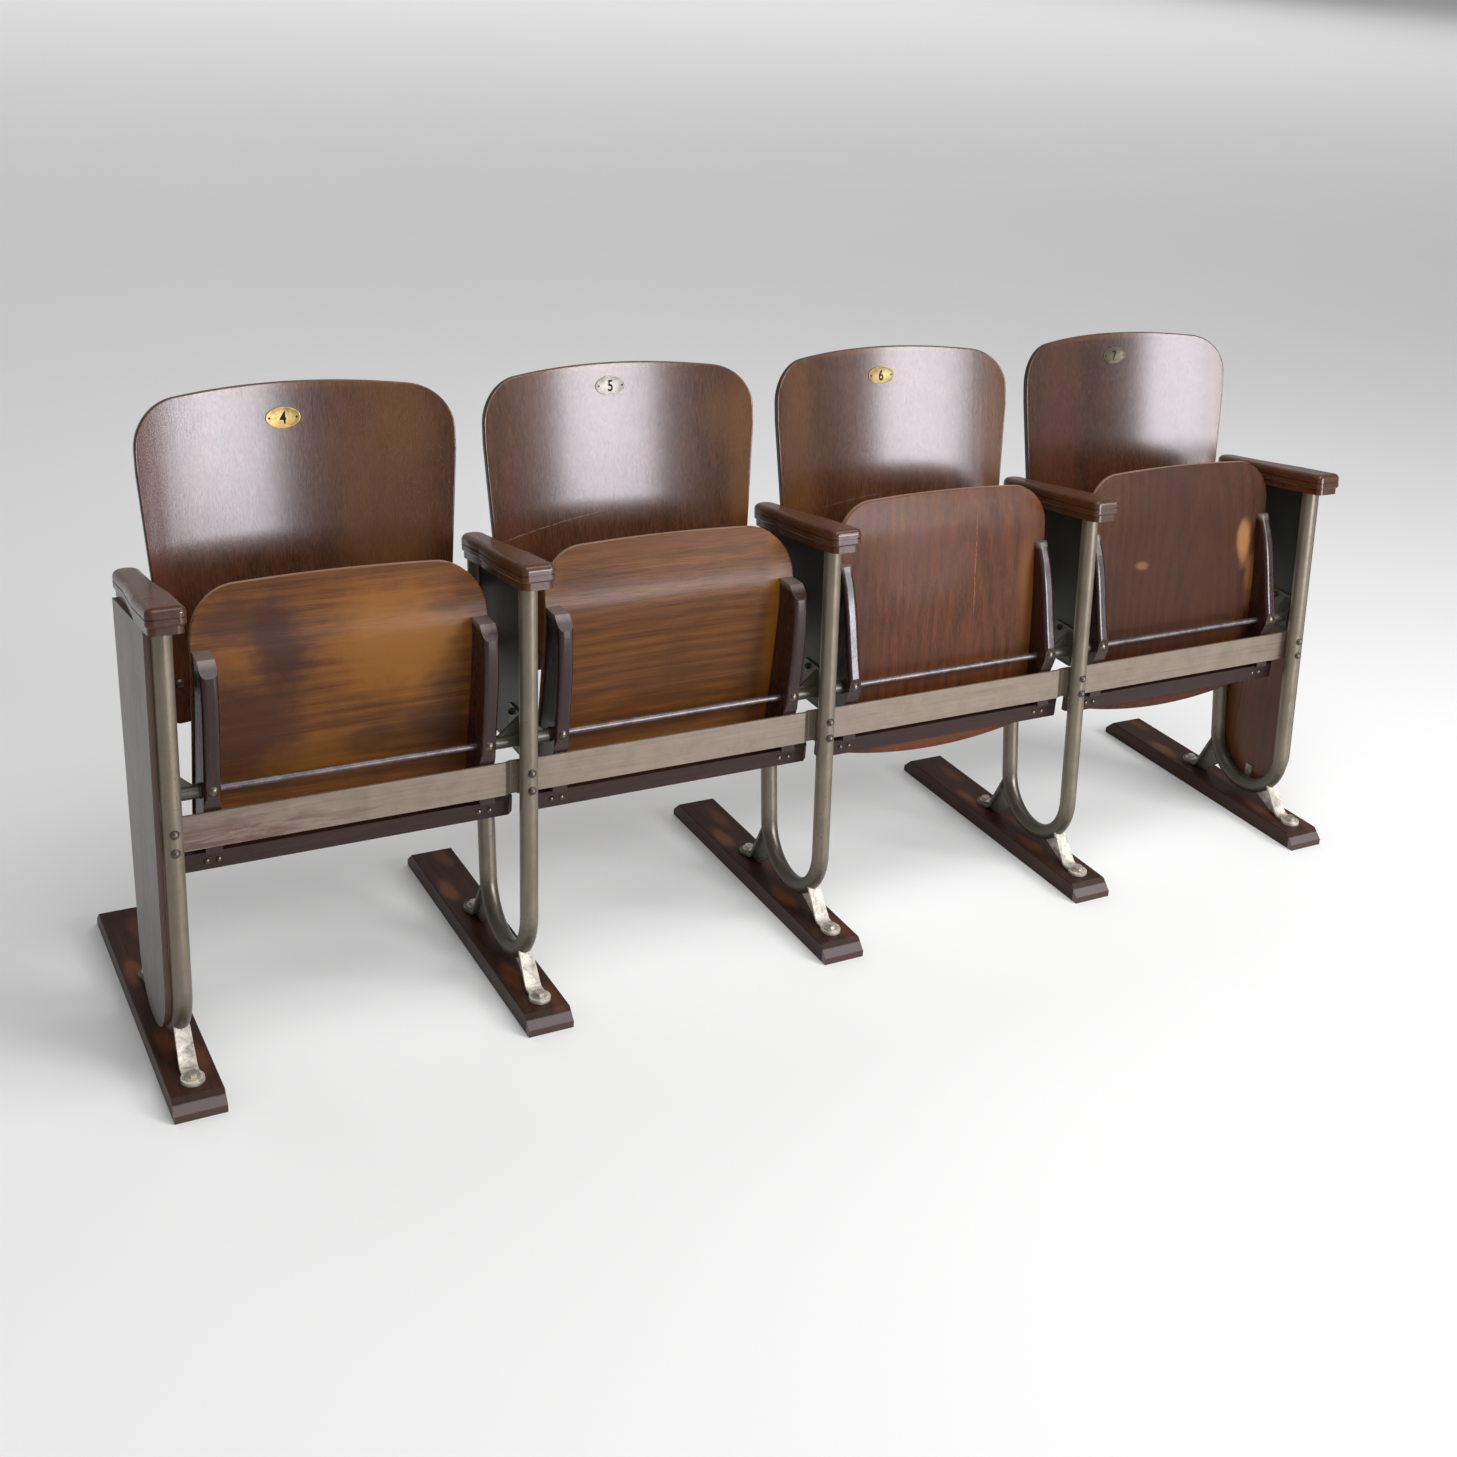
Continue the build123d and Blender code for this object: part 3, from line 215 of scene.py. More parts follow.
class Finish:
    """A material under construction."""

    def __init__(self, name, slot=None):
        self.slot = slot
        self.material = bpy.data.materials.new(name)
        self.material.use_nodes = True
        self.tree = self.material.node_tree
        self.shader = next(n for n in self.tree.nodes if n.type == "BSDF_PRINCIPLED")
        place = self.node("ShaderNodeTexCoord", {})
        self.place = Wire(self, place.socket.node.outputs["Object"])
        self.facing = Wire(self, place.socket.node.outputs["Normal"])

    def node(self, kind, settings, *values, **named):
        """Any node: its settings first, then the values or links of its sockets."""
        made = self.tree.nodes.new(kind)
        for key, value in settings.items():
            setattr(made, key, value)
        for key, value in list(enumerate(values)) + [(k.replace("_", " "), v) for k, v in named.items()]:
            if isinstance(value, Wire):
                self.tree.links.new(value.socket, made.inputs[key])
            elif value is not None:
                made.inputs[key].default_value = value
        return Wire(self, next(s for s in made.outputs if s.enabled))

    def parts(self, vector):
        """The three numbers of a vector."""
        split = self.node("ShaderNodeSeparateXYZ", {}, vector).socket.node
        return [Wire(self, s) for s in split.outputs]

    def stretched(self, scale, shift=(0, 0, 0)):
        """The piece's own coordinates, scaled per axis."""
        return self.node("ShaderNodeMapping", {}, self.place, shift, (0, 0, 0), scale)

    def noise(self, where, scale, detail=3.0, rough=0.55, warp=0.0):
        return self.node(
            "ShaderNodeTexNoise", {}, Vector=where, Scale=scale, Detail=detail, Roughness=rough, Distortion=warp
        )

    def cells(self, where, scale, feature="F1"):
        return self.node("ShaderNodeTexVoronoi", {"feature": feature}, Vector=where, Scale=scale)

    def mix(self, share, one, other, blend="MIX"):
        """A colour between two colours."""
        made = self.tree.nodes.new("ShaderNodeMix")
        made.data_type = "RGBA"
        made.blend_type = blend
        for socket, value in ((made.inputs[0], share), (made.inputs[6], one), (made.inputs[7], other)):
            if isinstance(value, Wire):
                self.tree.links.new(value.socket, socket)
            else:
                socket.default_value = (*value, 1.0) if hasattr(value, "__len__") else value
        return Wire(self, made.outputs[2])

    def tones(self, share, *stops):
        """A colour ramp through evenly spaced colours."""
        made = self.tree.nodes.new("ShaderNodeValToRGB")
        ramp = made.color_ramp
        while len(ramp.elements) < len(stops):
            ramp.elements.new(0.5)
        for number, colour in enumerate(stops):
            ramp.elements[number].position = number / (len(stops) - 1)
            ramp.elements[number].color = (*colour, 1.0)
        self.tree.links.new(share.socket, made.inputs[0])
        return Wire(self, made.outputs[0])

    def relief(self, height, depth, strength=1.0, under=None):
        """Bump from a height of 0 to 1, whose full depth is given in metres."""
        return self.node("ShaderNodeBump", {}, Strength=strength, Distance=depth, Height=height, Normal=under)

    def set(self, **sockets):
        """Sets or links the shader's own sockets."""
        for key, value in sockets.items():
            socket = self.shader.inputs[key.replace("_", " ")]
            if isinstance(value, Wire):
                self.tree.links.new(value.socket, socket)
            else:
                socket.default_value = value
        return self.material


def times(colour, share, lift=0.0):
    """A colour made darker or lighter."""
    return tuple(min(1.0, c * share + lift) for c in colour)


# Woods
AXES = "xyz"


def drawn(along, share):
    """Scales that stretch a pattern along one axis."""
    return tuple(share if axis == along else 1.0 for axis in AXES)


def ply_edge(finish, facing, limit=0.62):
    """1 on the cut edges of a sheet that faces along an axis."""
    return abs(finish.parts(finish.facing)[AXES.index(facing)]).ramp(limit, limit - 0.25)


def ply_layers(finish, facing, thickness=0.0017):
    """Thin light and dark layers across a sheet's thickness."""
    depth = finish.parts(finish.place)[AXES.index(facing)]
    return (depth * (2 * math.pi / thickness)).sine() * 0.5 + 0.5


def figure_lines(finish, along, place, rings, spread, seed):
    """Long arches of growth rings round a place given along and across the grain."""
    x, y, z = finish.parts(finish.place)
    across, length = {"x": (z, x), "z": (x, z), "y": (x, y)}[along]
    off = across - place[1]
    far = (length - place[0]) * spread
    wander = finish.noise(finish.stretched(drawn(along, 0.25), (seed, 0, seed)), 9, 3, 0.55) - 0.5
    reach = (off * off + far * far) ** 0.5 + wander * 0.05
    return (reach * rings).sine() * 0.5 + 0.5


def varnished(name, slot, colour, along, seed, gloss=0.3, coat=0.3, contrast=1.0, marks=(), figure=None, edge=None):
    """Varnished wood: bands, streaks and pores along the grain, marks in order, and cut edges of plywood."""
    finish = Finish(name, slot)
    shift = (seed * 1.37, seed * 0.73, seed * 2.11)
    bands = finish.noise(finish.stretched(drawn(along, 0.05), shift), 17, 3, 0.5, 0.5)
    streaks = finish.noise(finish.stretched(drawn(along, 0.025), shift), 165, 4, 0.68, 0.15)
    fine = finish.noise(finish.stretched(drawn(along, 0.02), shift), 460, 3, 0.65)
    pores = finish.noise(finish.stretched(drawn(along, 0.012), shift), 1700, 2, 0.5).ramp(0.57, 0.68)
    share = bands * 0.26 + streaks * 0.42 + fine * 0.32
    if figure:
        share = share * (1 - figure["weight"]) + figure_lines(
            finish, along, figure["place"], figure["rings"], figure["spread"], seed
        ) * figure["weight"]
    reach = 0.3 / contrast
    share = share.ramp(0.5 - reach, 0.5 + reach)
    tint = finish.tones(share, times(colour, 0.42), times(colour, 0.8), times(colour, 1.12), times(colour, 1.6))
    cloud = finish.noise(finish.place, 7.0, 4, 0.6, 0.5)
    tint = finish.mix(cloud.ramp(0.5, 0.72) * 0.4, tint, times(colour, 0.5))
    tint = finish.mix(pores * 0.4, tint, times(colour, 0.3))
    marked = tint
    for mark in marks:
        marked = mark(finish, marked)
    if edge and edge["facing"] == "y":
        front = finish.parts(finish.facing)[AXES.index("y")].ramp(0.1, -0.1)
        tint = finish.mix(front, tint, marked)
    else:
        tint = marked
    wear = finish.noise(finish.place, 24, 5, 0.65)
    smear = finish.noise(finish.stretched(drawn(along, 0.35), shift), 11, 4, 0.6)
    roughness = wear * 0.1 + smear * 0.14 + fine * 0.14 + (gloss - 0.19)
    if edge:
        cut = ply_edge(finish, edge["facing"])
        layer = finish.mix(ply_layers(finish, edge["facing"]), edge["dark"], edge["light"])
        tint = finish.mix(cut * finish.noise(finish.place, 60, 3).ramp(0.2, 0.42), tint, layer)
        roughness = roughness + cut * 0.22
    wave = finish.noise(finish.stretched(drawn(along, 0.3), shift), 7, 1, 0.4)
    ripple = finish.relief(wave, 0.0016, 0.4)
    height = fine * 0.55 + streaks * 0.45 - pores * 0.5
    bump = finish.relief(height, 0.0007, 0.42, ripple)
    finish.set(Base_Color=tint, Roughness=roughness, Normal=bump)
    finish.set(Coat_Weight=coat, Coat_Roughness=0.2, Specular_IOR_Level=0.08 + coat * 0.3)
    return finish


def blot(place, reach, colour, strength, ragged=0.5, axes="xz"):
    """A soft patch of colour: its place and size on two axes, and what it tints towards."""

    def paint(finish, under):
        split = finish.parts(finish.place)
        one, two = (split[AXES.index(a)] for a in axes)
        off_one = (one - place[0]) / reach[0]
        off_two = (two - place[1]) / reach[1]
        wander = finish.noise(finish.stretched((1, 1, 1), (place[0], 0, place[1])), 16, 4, 0.62) - 0.5
        distance = (off_one * off_one + off_two * off_two) ** 0.5 + wander * ragged * 2
        return finish.mix(distance.ramp(1.05, 0.3) * strength, under, colour)

    return paint


def scratch(start, end, width, colour, strength):
    """A thin mark between two places, each as x and z."""
    run = Vector((end[0] - start[0], end[1] - start[1]))
    length = run.length
    way = run / length

    def paint(finish, under):
        x, _, z = finish.parts(finish.place)
        off_x = x - start[0]
        off_z = z - start[1]
        along = off_x * way.x + off_z * way.y
        wander = finish.noise(finish.place, 30, 2) - 0.5
        across = abs(off_z * way.x - off_x * way.y + wander * 0.002)
        ends = along.ramp(0, 0.15 * length) * along.ramp(length, 0.85 * length)
        worn = finish.noise(finish.place, 160, 2).ramp(0.3, 0.55)
        return finish.mix(across.ramp(width, width * 0.3) * ends * worn * strength, under, colour)

    return paint


def specks(place, reach, colour, strength):
    """A few small dark dots within a round patch."""

    def paint(finish, under):
        x, _, z = finish.parts(finish.place)
        near = ((x - place[0]) * (x - place[0]) + (z - place[1]) * (z - place[1])) ** 0.5
        dots = finish.cells(finish.place, 130).ramp(0.16, 0.05)
        return finish.mix(dots * near.ramp(reach, reach * 0.5) * strength, under, colour)

    return paint


def spot(box, across, up):
    """A place on a front face, as shares of its box."""
    low, high = box
    return (low.x + across * (high.x - low.x), low.z + up * (high.z - low.z))


def back_marks(number, box, wood):
    """Tones and marks of each back, seen from the front, and a painted highlight along the top edge."""
    orange, red = (0.19, 0.078, 0.026), (0.115, 0.033, 0.019)
    dark, light = tuple(wood.stain), tuple(wood.worn)
    marks = {
        1: [
            blot(spot(box, 0.78, 0.62), (0.1, 0.3), orange, 0.55, 0.35),
            blot(spot(box, 0.05, 0.5), (0.035, 0.32), red, 0.6, 0.25),
            blot(spot(box, 0.84, 0.9), (0.05, 0.1), orange, 0.4, 0.4),
            blot(spot(box, 0.6, 0.35), (0.03, 0.16), dark, 0.35, 0.4),
            scratch(spot(box, 0.455, 0.985), spot(box, 0.45, 0.1), 0.0007, dark, 0.75),
            scratch(spot(box, 0.1, 0.8), spot(box, 0.14, 0.79), 0.0022, dark, 0.7),
            specks(spot(box, 0.12, 0.8), 0.012, dark, 0.8),
        ],
        2: [
            blot(spot(box, 0.97, 0.5), (0.04, 0.34), orange, 0.85, 0.25),
            blot(spot(box, 0.9, 0.82), (0.04, 0.08), orange, 0.5, 0.4),
            blot(spot(box, 0.1, 0.35), (0.05, 0.2), red, 0.55, 0.3),
            blot(spot(box, 0.3, 0.86), (0.012, 0.05), dark, 0.6, 0.5),
            blot(spot(box, 0.42, 0.1), (0.12, 0.03), dark, 0.5, 0.4),
            scratch(spot(box, 0.03, 0.46), spot(box, 0.47, 0.51), 0.0009, (0.3, 0.2, 0.17), 0.75),
            scratch(spot(box, 0.31, 0.75), spot(box, 0.315, 0.36), 0.0007, dark, 0.6),
        ],
        3: [
            blot(spot(box, 0.1, 0.6), (0.05, 0.3), orange, 0.4, 0.3),
            blot(spot(box, 0.95, 0.5), (0.04, 0.34), orange, 0.7, 0.25),
            blot(spot(box, 0.3, 0.3), (0.04, 0.12), dark, 0.4, 0.5),
            scratch(spot(box, 0.28, 0.95), spot(box, 0.27, 0.2), 0.0007, dark, 0.6),
            scratch(spot(box, 0.2, 0.45), spot(box, 0.5, 0.47), 0.0008, (0.26, 0.17, 0.14), 0.5),
        ],
        4: [
            blot(spot(box, 0.2, 0.5), (0.07, 0.34), red, 0.45, 0.3),
            blot(spot(box, 0.97, 0.5), (0.03, 0.34), orange, 0.5, 0.25),
            blot(spot(box, 0.5, 0.9), (0.1, 0.05), dark, 0.4, 0.4),
            scratch(spot(box, 0.5, 0.9), spot(box, 0.5, 0.15), 0.0006, dark, 0.5),
        ],
    }
    # A faint light band along the top of each back's face, in the worn-veneer colour: a painted highlight of the top
    # edge
    return marks[number] + [blot(spot(box, 0.5, 0.99), (0.3, 0.008), light, 0.12, 0.2)]


def seat_marks(number, box, wood):
    """Stains and scratches of each seat's underside."""
    dark, light = tuple(wood.stain), tuple(wood.worn)
    gold, red, plum = (0.3, 0.118, 0.019), (0.13, 0.038, 0.014), (0.06, 0.022, 0.014)
    if number == 1:
        return [
            blot(spot(box, 0.68, 0.72), (0.13, 0.11), gold, 0.85, 0.5),
            blot(spot(box, 0.12, 0.7), (0.05, 0.04), gold, 0.6, 0.5),
            blot(spot(box, 0.4, 0.3), (0.12, 0.05), gold, 0.45, 0.5),
            blot(spot(box, 0.3, 0.08), (0.18, 0.03), red, 0.7, 0.4),
            blot(spot(box, 0.17, 0.45), (0.1, 0.11), plum, 0.8, 0.5),
            blot(spot(box, 0.29, 0.76), (0.05, 0.1), plum, 0.9, 0.7),
            blot(spot(box, 0.16, 0.88), (0.09, 0.035), plum, 0.65, 0.7),
            blot(spot(box, 0.83, 0.36), (0.06, 0.045), plum, 0.75, 0.5),
            blot(spot(box, 0.58, 0.34), (0.05, 0.03), plum, 0.5, 0.7),
            blot(spot(box, 0.84, 0.84), (0.05, 0.012), plum, 0.5, 0.7),
            specks(spot(box, 0.55, 0.45), 0.05, dark, 0.6),
        ]
    if number == 2:
        return [
            blot(spot(box, 0.94, 0.55), (0.03, 0.2), gold, 0.7, 0.35),
            blot(spot(box, 0.5, 0.12), (0.2, 0.03), gold, 0.5, 0.4),
            blot(spot(box, 0.2, 0.85), (0.1, 0.04), plum, 0.45, 0.5),
            blot(spot(box, 0.55, 0.96), (0.2, 0.012), red, 0.6, 0.4),
            specks(spot(box, 0.7, 0.6), 0.035, dark, 0.9),
            specks(spot(box, 0.3, 0.45), 0.03, dark, 0.9),
        ]
    if number == 3:
        return [
            blot(spot(box, 0.93, 0.55), (0.035, 0.22), (0.21, 0.078, 0.022), 0.7, 0.3),
            blot(spot(box, 0.4, 0.75), (0.13, 0.08), (0.19, 0.1, 0.085), 0.35, 0.4),
            blot(spot(box, 0.1, 0.5), (0.04, 0.2), plum, 0.5, 0.35),
            blot(spot(box, 0.5, 0.06), (0.2, 0.03), (0.24, 0.085, 0.03), 0.7, 0.3),
            scratch(spot(box, 0.655, 0.93), spot(box, 0.65, 0.5), 0.001, light, 0.75),
            scratch(spot(box, 0.3, 0.8), spot(box, 0.31, 0.45), 0.0007, dark, 0.6),
        ]
    return [
        blot(spot(box, 0.5, 0.6), (0.2, 0.25), plum, 0.5, 0.4),
        blot(spot(box, 0.88, 0.68), (0.018, 0.05), light, 0.85, 0.6),
        blot(spot(box, 0.93, 0.5), (0.02, 0.06), light, 0.45, 0.7),
        blot(spot(box, 0.3, 0.62), (0.022, 0.01), light, 0.5, 0.8),
        blot(spot(box, 0.5, 0.05), (0.2, 0.03), (0.12, 0.04, 0.02), 0.6, 0.3),
        scratch(spot(box, 0.55, 0.9), spot(box, 0.56, 0.4), 0.0008, dark, 0.6),
    ]


# Metals
def old_paint(name, slot, base, along=None, seed=0.0, chips=0.4, gloss=0.4, shine=0.3, marks=()):
    """Old paint on steel: soft mottling, fine streaks, chips down to dark metal, and marks."""
    finish = Finish(name, slot)
    dark = times(base, 0.5)
    mottle = finish.noise(finish.place, 30, 6, 0.68, 0.4)
    tint = finish.tones(mottle.ramp(0.1, 0.9), times(base, 0.8), base, times(base, 1.15))
    if along:
        streaks = finish.noise(finish.stretched(drawn(along, 0.03), (seed, seed * 0.4, seed)), 240, 4, 0.65, 0.2)
        tint = finish.mix(streaks.ramp(0.5, 0.75) * 0.45, tint, dark)
        tint = finish.mix(streaks.ramp(0.46, 0.28) * 0.35, tint, times(base, 1.4))
    chip = finish.noise(finish.stretched((1, 1, 1), (seed, 0, 0)), 140, 6, 0.72, 0.6)
    bare = chip.ramp(0.68 - 0.08 * chips, 0.71 - 0.08 * chips)
    tint = finish.mix(bare * 0.8, tint, (0.035, 0.027, 0.021))
    for mark in marks:
        tint = mark(finish, tint)
    roughness = mottle * 0.2 + (gloss - 0.1) + bare * 0.2
    finish.set(Base_Color=tint, Roughness=roughness, Metallic=bare * 0.3 + shine)
    finish.set(Normal=finish.relief(mottle * 0.5 - bare, 0.0003, 0.5))
    return finish


def worn_iron(name, slot, base, rough=0.4, shine=0.8, pits=0.5, grit=0.0006, marks=()):
    """Bare iron rubbed bright over dark scale."""
    finish = Finish(name, slot)
    scale = finish.noise(finish.place, 70, 7, 0.72, 0.5)
    pit = finish.cells(finish.place, 420).ramp(0.32, 0.1)
    tint = finish.tones(scale.ramp(0.28, 0.7), times(base, 0.42), times(base, 0.9), times(base, 1.3))
    tint = finish.mix(pit * pits, tint, times(base, 0.25))
    for mark in marks:
        tint = mark(finish, tint)
    finish.set(Base_Color=tint, Metallic=scale * -0.2 + (shine + 0.1), Roughness=scale * 0.2 + (rough - 0.08))
    finish.set(Normal=finish.relief(scale * 0.7 - pit * 0.6, grit, 0.7))
    return finish


def between(axis, low, high, colour, strength, ragged=0.35, scale=90):
    """A tint that fades in along an axis, with a ragged edge."""

    def paint(finish, under):
        where = finish.parts(finish.place)[AXES.index(axis)]
        wander = (finish.noise(finish.place, scale, 5, 0.7) - 0.5) * (ragged * 2 * (high - low))
        return finish.mix((where + wander).ramp(low, high) * strength, under, colour)

    return paint


def rust_smears(finish, under):
    """Reddish smears at the left end of the first strap."""
    x, _, z = finish.parts(finish.place)
    left = x.ramp(-0.62, -0.92)
    run = finish.noise(finish.stretched((0.12, 1, 1), (0.4, 0, 0.2)), 85, 5, 0.7, 0.6)
    low = z.ramp(0.37, 0.345)
    share = run.ramp(0.44, 0.6) * left * (low * 0.55 + 0.3)
    return finish.mix(share.least(1.0), under, (0.11, 0.05, 0.038))


def give(node, finish):
    """Puts one material on a piece of the frame."""
    slots = NODES[node].data.materials
    slots.clear()
    slots.append(finish.material)


# Modelling by hand
def begin(add, **settings):
    """Adds a primitive with nothing else selected, and applies its place."""
    if bpy.context.object and bpy.context.object.mode != "OBJECT":
        bpy.ops.object.mode_set(mode="OBJECT")
    bpy.ops.object.select_all(action="DESELECT")
    add(**settings)
    piece = bpy.context.object
    if piece.type == "MESH":
        bpy.ops.object.transform_apply(location=True, rotation=True, scale=True)
    return piece


def edit(piece):
    """Opens a piece in edit mode with nothing selected."""
    bpy.ops.object.select_all(action="DESELECT")
    piece.select_set(True)
    bpy.context.view_layer.objects.active = piece
    bpy.ops.object.mode_set(mode="EDIT")
    bpy.ops.mesh.select_all(action="DESELECT")


def close():
    bpy.ops.object.mode_set(mode="OBJECT")


def choose(piece, kind, wanted):
    """Selects, in edit mode, only the faces, edges or corners that a test wants."""
    bpy.ops.mesh.select_mode(type=kind)
    bpy.ops.mesh.select_all(action="DESELECT")
    net = bmesh.from_edit_mesh(piece.data)
    items = {"FACE": net.faces, "EDGE": net.edges, "VERT": net.verts}[kind]
    for item in items:
        if wanted(item):
            item.select_set(True)
    net.select_flush_mode()
    bmesh.update_edit_mesh(piece.data)


def middle(item):
    """The middle of a face, an edge or a corner."""
    points = [item] if hasattr(item, "co") else item.verts
    return sum((v.co for v in points), Vector()) / len(points)


def pull(step):
    """Extrudes what is selected by a step."""
    bpy.ops.mesh.extrude_region_move(TRANSFORM_OT_translate={"value": step})


def apply(piece, kind, **settings):
    """Adds a modifier and applies it."""
    bpy.ops.object.select_all(action="DESELECT")
    piece.select_set(True)
    bpy.context.view_layer.objects.active = piece
    made = piece.modifiers.new(kind.title(), kind)
    for key, value in settings.items():
        setattr(made, key, value)
    bpy.ops.object.modifier_apply(modifier=made.name)


def outward(piece):
    """Turns all faces outwards."""
    edit(piece)
    bpy.ops.mesh.select_all(action="SELECT")
    bpy.ops.mesh.normals_make_consistent(inside=False)
    close()


def join(pieces, name):
    """Joins pieces into the first one."""
    bpy.ops.object.select_all(action="DESELECT")
    for piece in pieces:
        piece.select_set(True)
    bpy.context.view_layer.objects.active = pieces[0]
    if len(pieces) > 1:
        bpy.ops.object.join()
    piece = bpy.context.object
    piece.name = name
    piece.data.name = name
    return piece


def copy(piece, matrix):
    """A copy with its own mesh, placed in its mesh."""
    twin = piece.copy()
    twin.data = piece.data.copy()
    bpy.context.scene.collection.objects.link(twin)
    twin.data.transform(matrix)
    return twin


def smooth(piece, angle=35):
    bpy.ops.object.select_all(action="DESELECT")
    piece.select_set(True)
    bpy.context.view_layer.objects.active = piece
    bpy.ops.object.shade_smooth_by_angle(angle=math.radians(angle))


def coat_all(piece, finish):
    piece.data.materials.clear()
    piece.data.materials.append(finish.material)


FRONT_FOOT = {"lug": (-221.0, 31.1), "toe": (-197.0, 34.1), "head": (-156.6, 85.4), "web": (-117.0, 55.0), "heel": -175.0}
REAR_FOOT = {"lug": (52.0, 31.1), "toe": (32.0, 34.1), "head": (-6.9, 118.6), "web": (-35.2, 69.4), "heel": 10.0}


def casting_strip(foot, sizes):
    """The sloping strip: a flat tongue, a curved toe and a straight run to the tube, with raised edges."""
    toe, head = (Vector((0, p[0] * MM, p[1] * MM)) for p in (foot["toe"], foot["head"]))
    slope = (head - toe).normalized()
    side = 1.0 if slope.y > 0 else -1.0
    tongue = Vector((0, foot["lug"][0] * MM + side * 0.006, toe.z))
    piece = begin(bpy.ops.mesh.primitive_plane_add, size=1, location=(0, tongue.y, tongue.z), scale=(1, 1, 1))
    edit(piece)
    bpy.ops.mesh.select_all(action="SELECT")
    bpy.ops.transform.resize(value=(sizes.strip_width, 0.008, 1), center_override=tongue)
    far = tongue.y + side * 0.004
    choose(piece, "EDGE", lambda e: abs(middle(e).y - far) < 1e-5)
    curve = 0.006
    stops = [toe - Vector((0, side * curve, 0))]
    stops.append(toe + (slope * 0.35 + Vector((0, -side * 0.3, 0))) * curve * 0.6)
    stops.append(toe + slope * curve)
    stops.append(toe + slope * (head - toe).length * 0.55)
    stops.append(head + slope * 0.002)
    here = Vector((0, far, tongue.z))
    for number, stop in enumerate(stops):
        pull(stop - here)
        here = stop
        if number >= 3:
            share = (sizes.head_width / sizes.strip_width) ** 0.5
            bpy.ops.transform.resize(value=(share, 1, 1), center_override=stop)
    close()
    apply(piece, "SOLIDIFY", thickness=sizes.strip_thickness, offset=-1.0 if piece.data.polygons[0].normal.z > 0 else 1.0)
    outward(piece)
    edit(piece)
    limit = 0.25
    choose(piece, "FACE", lambda f: f.normal.z - side * f.normal.y * 0.9 > limit and abs(f.normal.x) < 0.3 and middle(f).z > toe.z - 0.0005 and f.normal.dot(slope) < 0.8)
    bpy.ops.mesh.inset(thickness=sizes.rim_width, depth=0)
    bpy.ops.transform.shrink_fatten(value=-sizes.rim_depth)
    close()
    apply(piece, "BEVEL", width=sizes.softness, segments=2, limit_method="ANGLE", angle_limit=math.radians(32))
    return piece


def casting_lug(foot, sizes):
    """The round lug, with a raised edge round the washer's seat."""
    place = (0, foot["lug"][0] * MM, foot["lug"][1] * MM)
    piece = begin(
        bpy.ops.mesh.primitive_cylinder_add, vertices=48, radius=sizes.lug_width / 2, depth=sizes.lug_thickness,
        location=place,
    )
    edit(piece)
    choose(piece, "FACE", lambda f: f.normal.z > 0.9)
    bpy.ops.mesh.inset(thickness=sizes.lug_width * 0.06)
    pull((0, 0, -sizes.rim_depth))
    bpy.ops.mesh.inset(thickness=sizes.lug_width * 0.07)
    pull((0, 0, sizes.rim_depth))
    close()
    apply(piece, "BEVEL", width=sizes.softness * 0.8, segments=2, limit_method="ANGLE", angle_limit=math.radians(35))
    return piece


def casting_web(foot, sizes):
    """The upright web between strip and tube."""
    corners = [foot["toe"], foot["head"], foot["web"], (foot["heel"], SKID_TOP)]
    corners = [Vector((0, y * MM, z * MM)) for y, z in corners]
    corners[0].z = SKID_TOP * MM
    centre = sum(corners, Vector()) / 4
    piece = begin(bpy.ops.mesh.primitive_cube_add, size=0.02, location=centre)
    side = 1.0 if corners[2].y > corners[0].y else -1.0
    starts = [(-side, -1), (-side, 1), (side, 1), (side, -1)]
    edit(piece)
    for (go_y, go_z), corner in zip(starts, corners):
        start = centre + Vector((0, go_y * 0.01, go_z * 0.01))
        choose(piece, "VERT", lambda v: abs(v.co.y - start.y) < 1e-5 and abs(v.co.z - start.z) < 1e-5)
        bpy.ops.transform.translate(value=(corner - start) + Vector((0, 0, 0.5)))
    bpy.ops.mesh.select_all(action="SELECT")
    bpy.ops.transform.translate(value=(0, 0, -0.5))
    bpy.ops.transform.resize(value=(sizes.web_thickness / 0.02, 1, 1), center_override=centre)
    close()
    outward(piece)
    apply(piece, "BEVEL", width=sizes.softness, segments=2, limit_method="ANGLE", angle_limit=math.radians(30))
    return piece


def casting_weld(foot, sizes):
    """The lumpy weld across the head of the strip."""
    toe, head = (Vector((0, p[0] * MM, p[1] * MM)) for p in (foot["toe"], foot["head"]))
    slope = (head - toe).normalized()
    piece = begin(
        bpy.ops.mesh.primitive_cylinder_add, vertices=12, radius=sizes.bead, depth=sizes.head_width * 1.05,
        location=head + slope * 0.001, rotation=(0, math.pi / 2, 0),
    )
    edit(piece)
    bpy.ops.mesh.select_all(action="SELECT")
    for number in range(1, 14):
        across = (number / 14 - 0.5) * sizes.head_width * 1.05
        bpy.ops.mesh.select_all(action="SELECT")
        bpy.ops.mesh.bisect(plane_co=(across, 0, 0), plane_no=(1, 0, 0))
    bpy.ops.mesh.select_all(action="SELECT")
    bpy.ops.transform.vertex_random(offset=sizes.bead * 0.32, uniform=0.4, normal=0.6, seed=7)
    close()
    apply(piece, "SUBSURF", levels=1, render_levels=1)
    return piece


class CinemaOperator(Operator):
    """A step of the row's making."""

    bl_options = {"REGISTER", "UNDO"}

    def execute(self, context):
        self.make(context.scene)
        return {"FINISHED"}


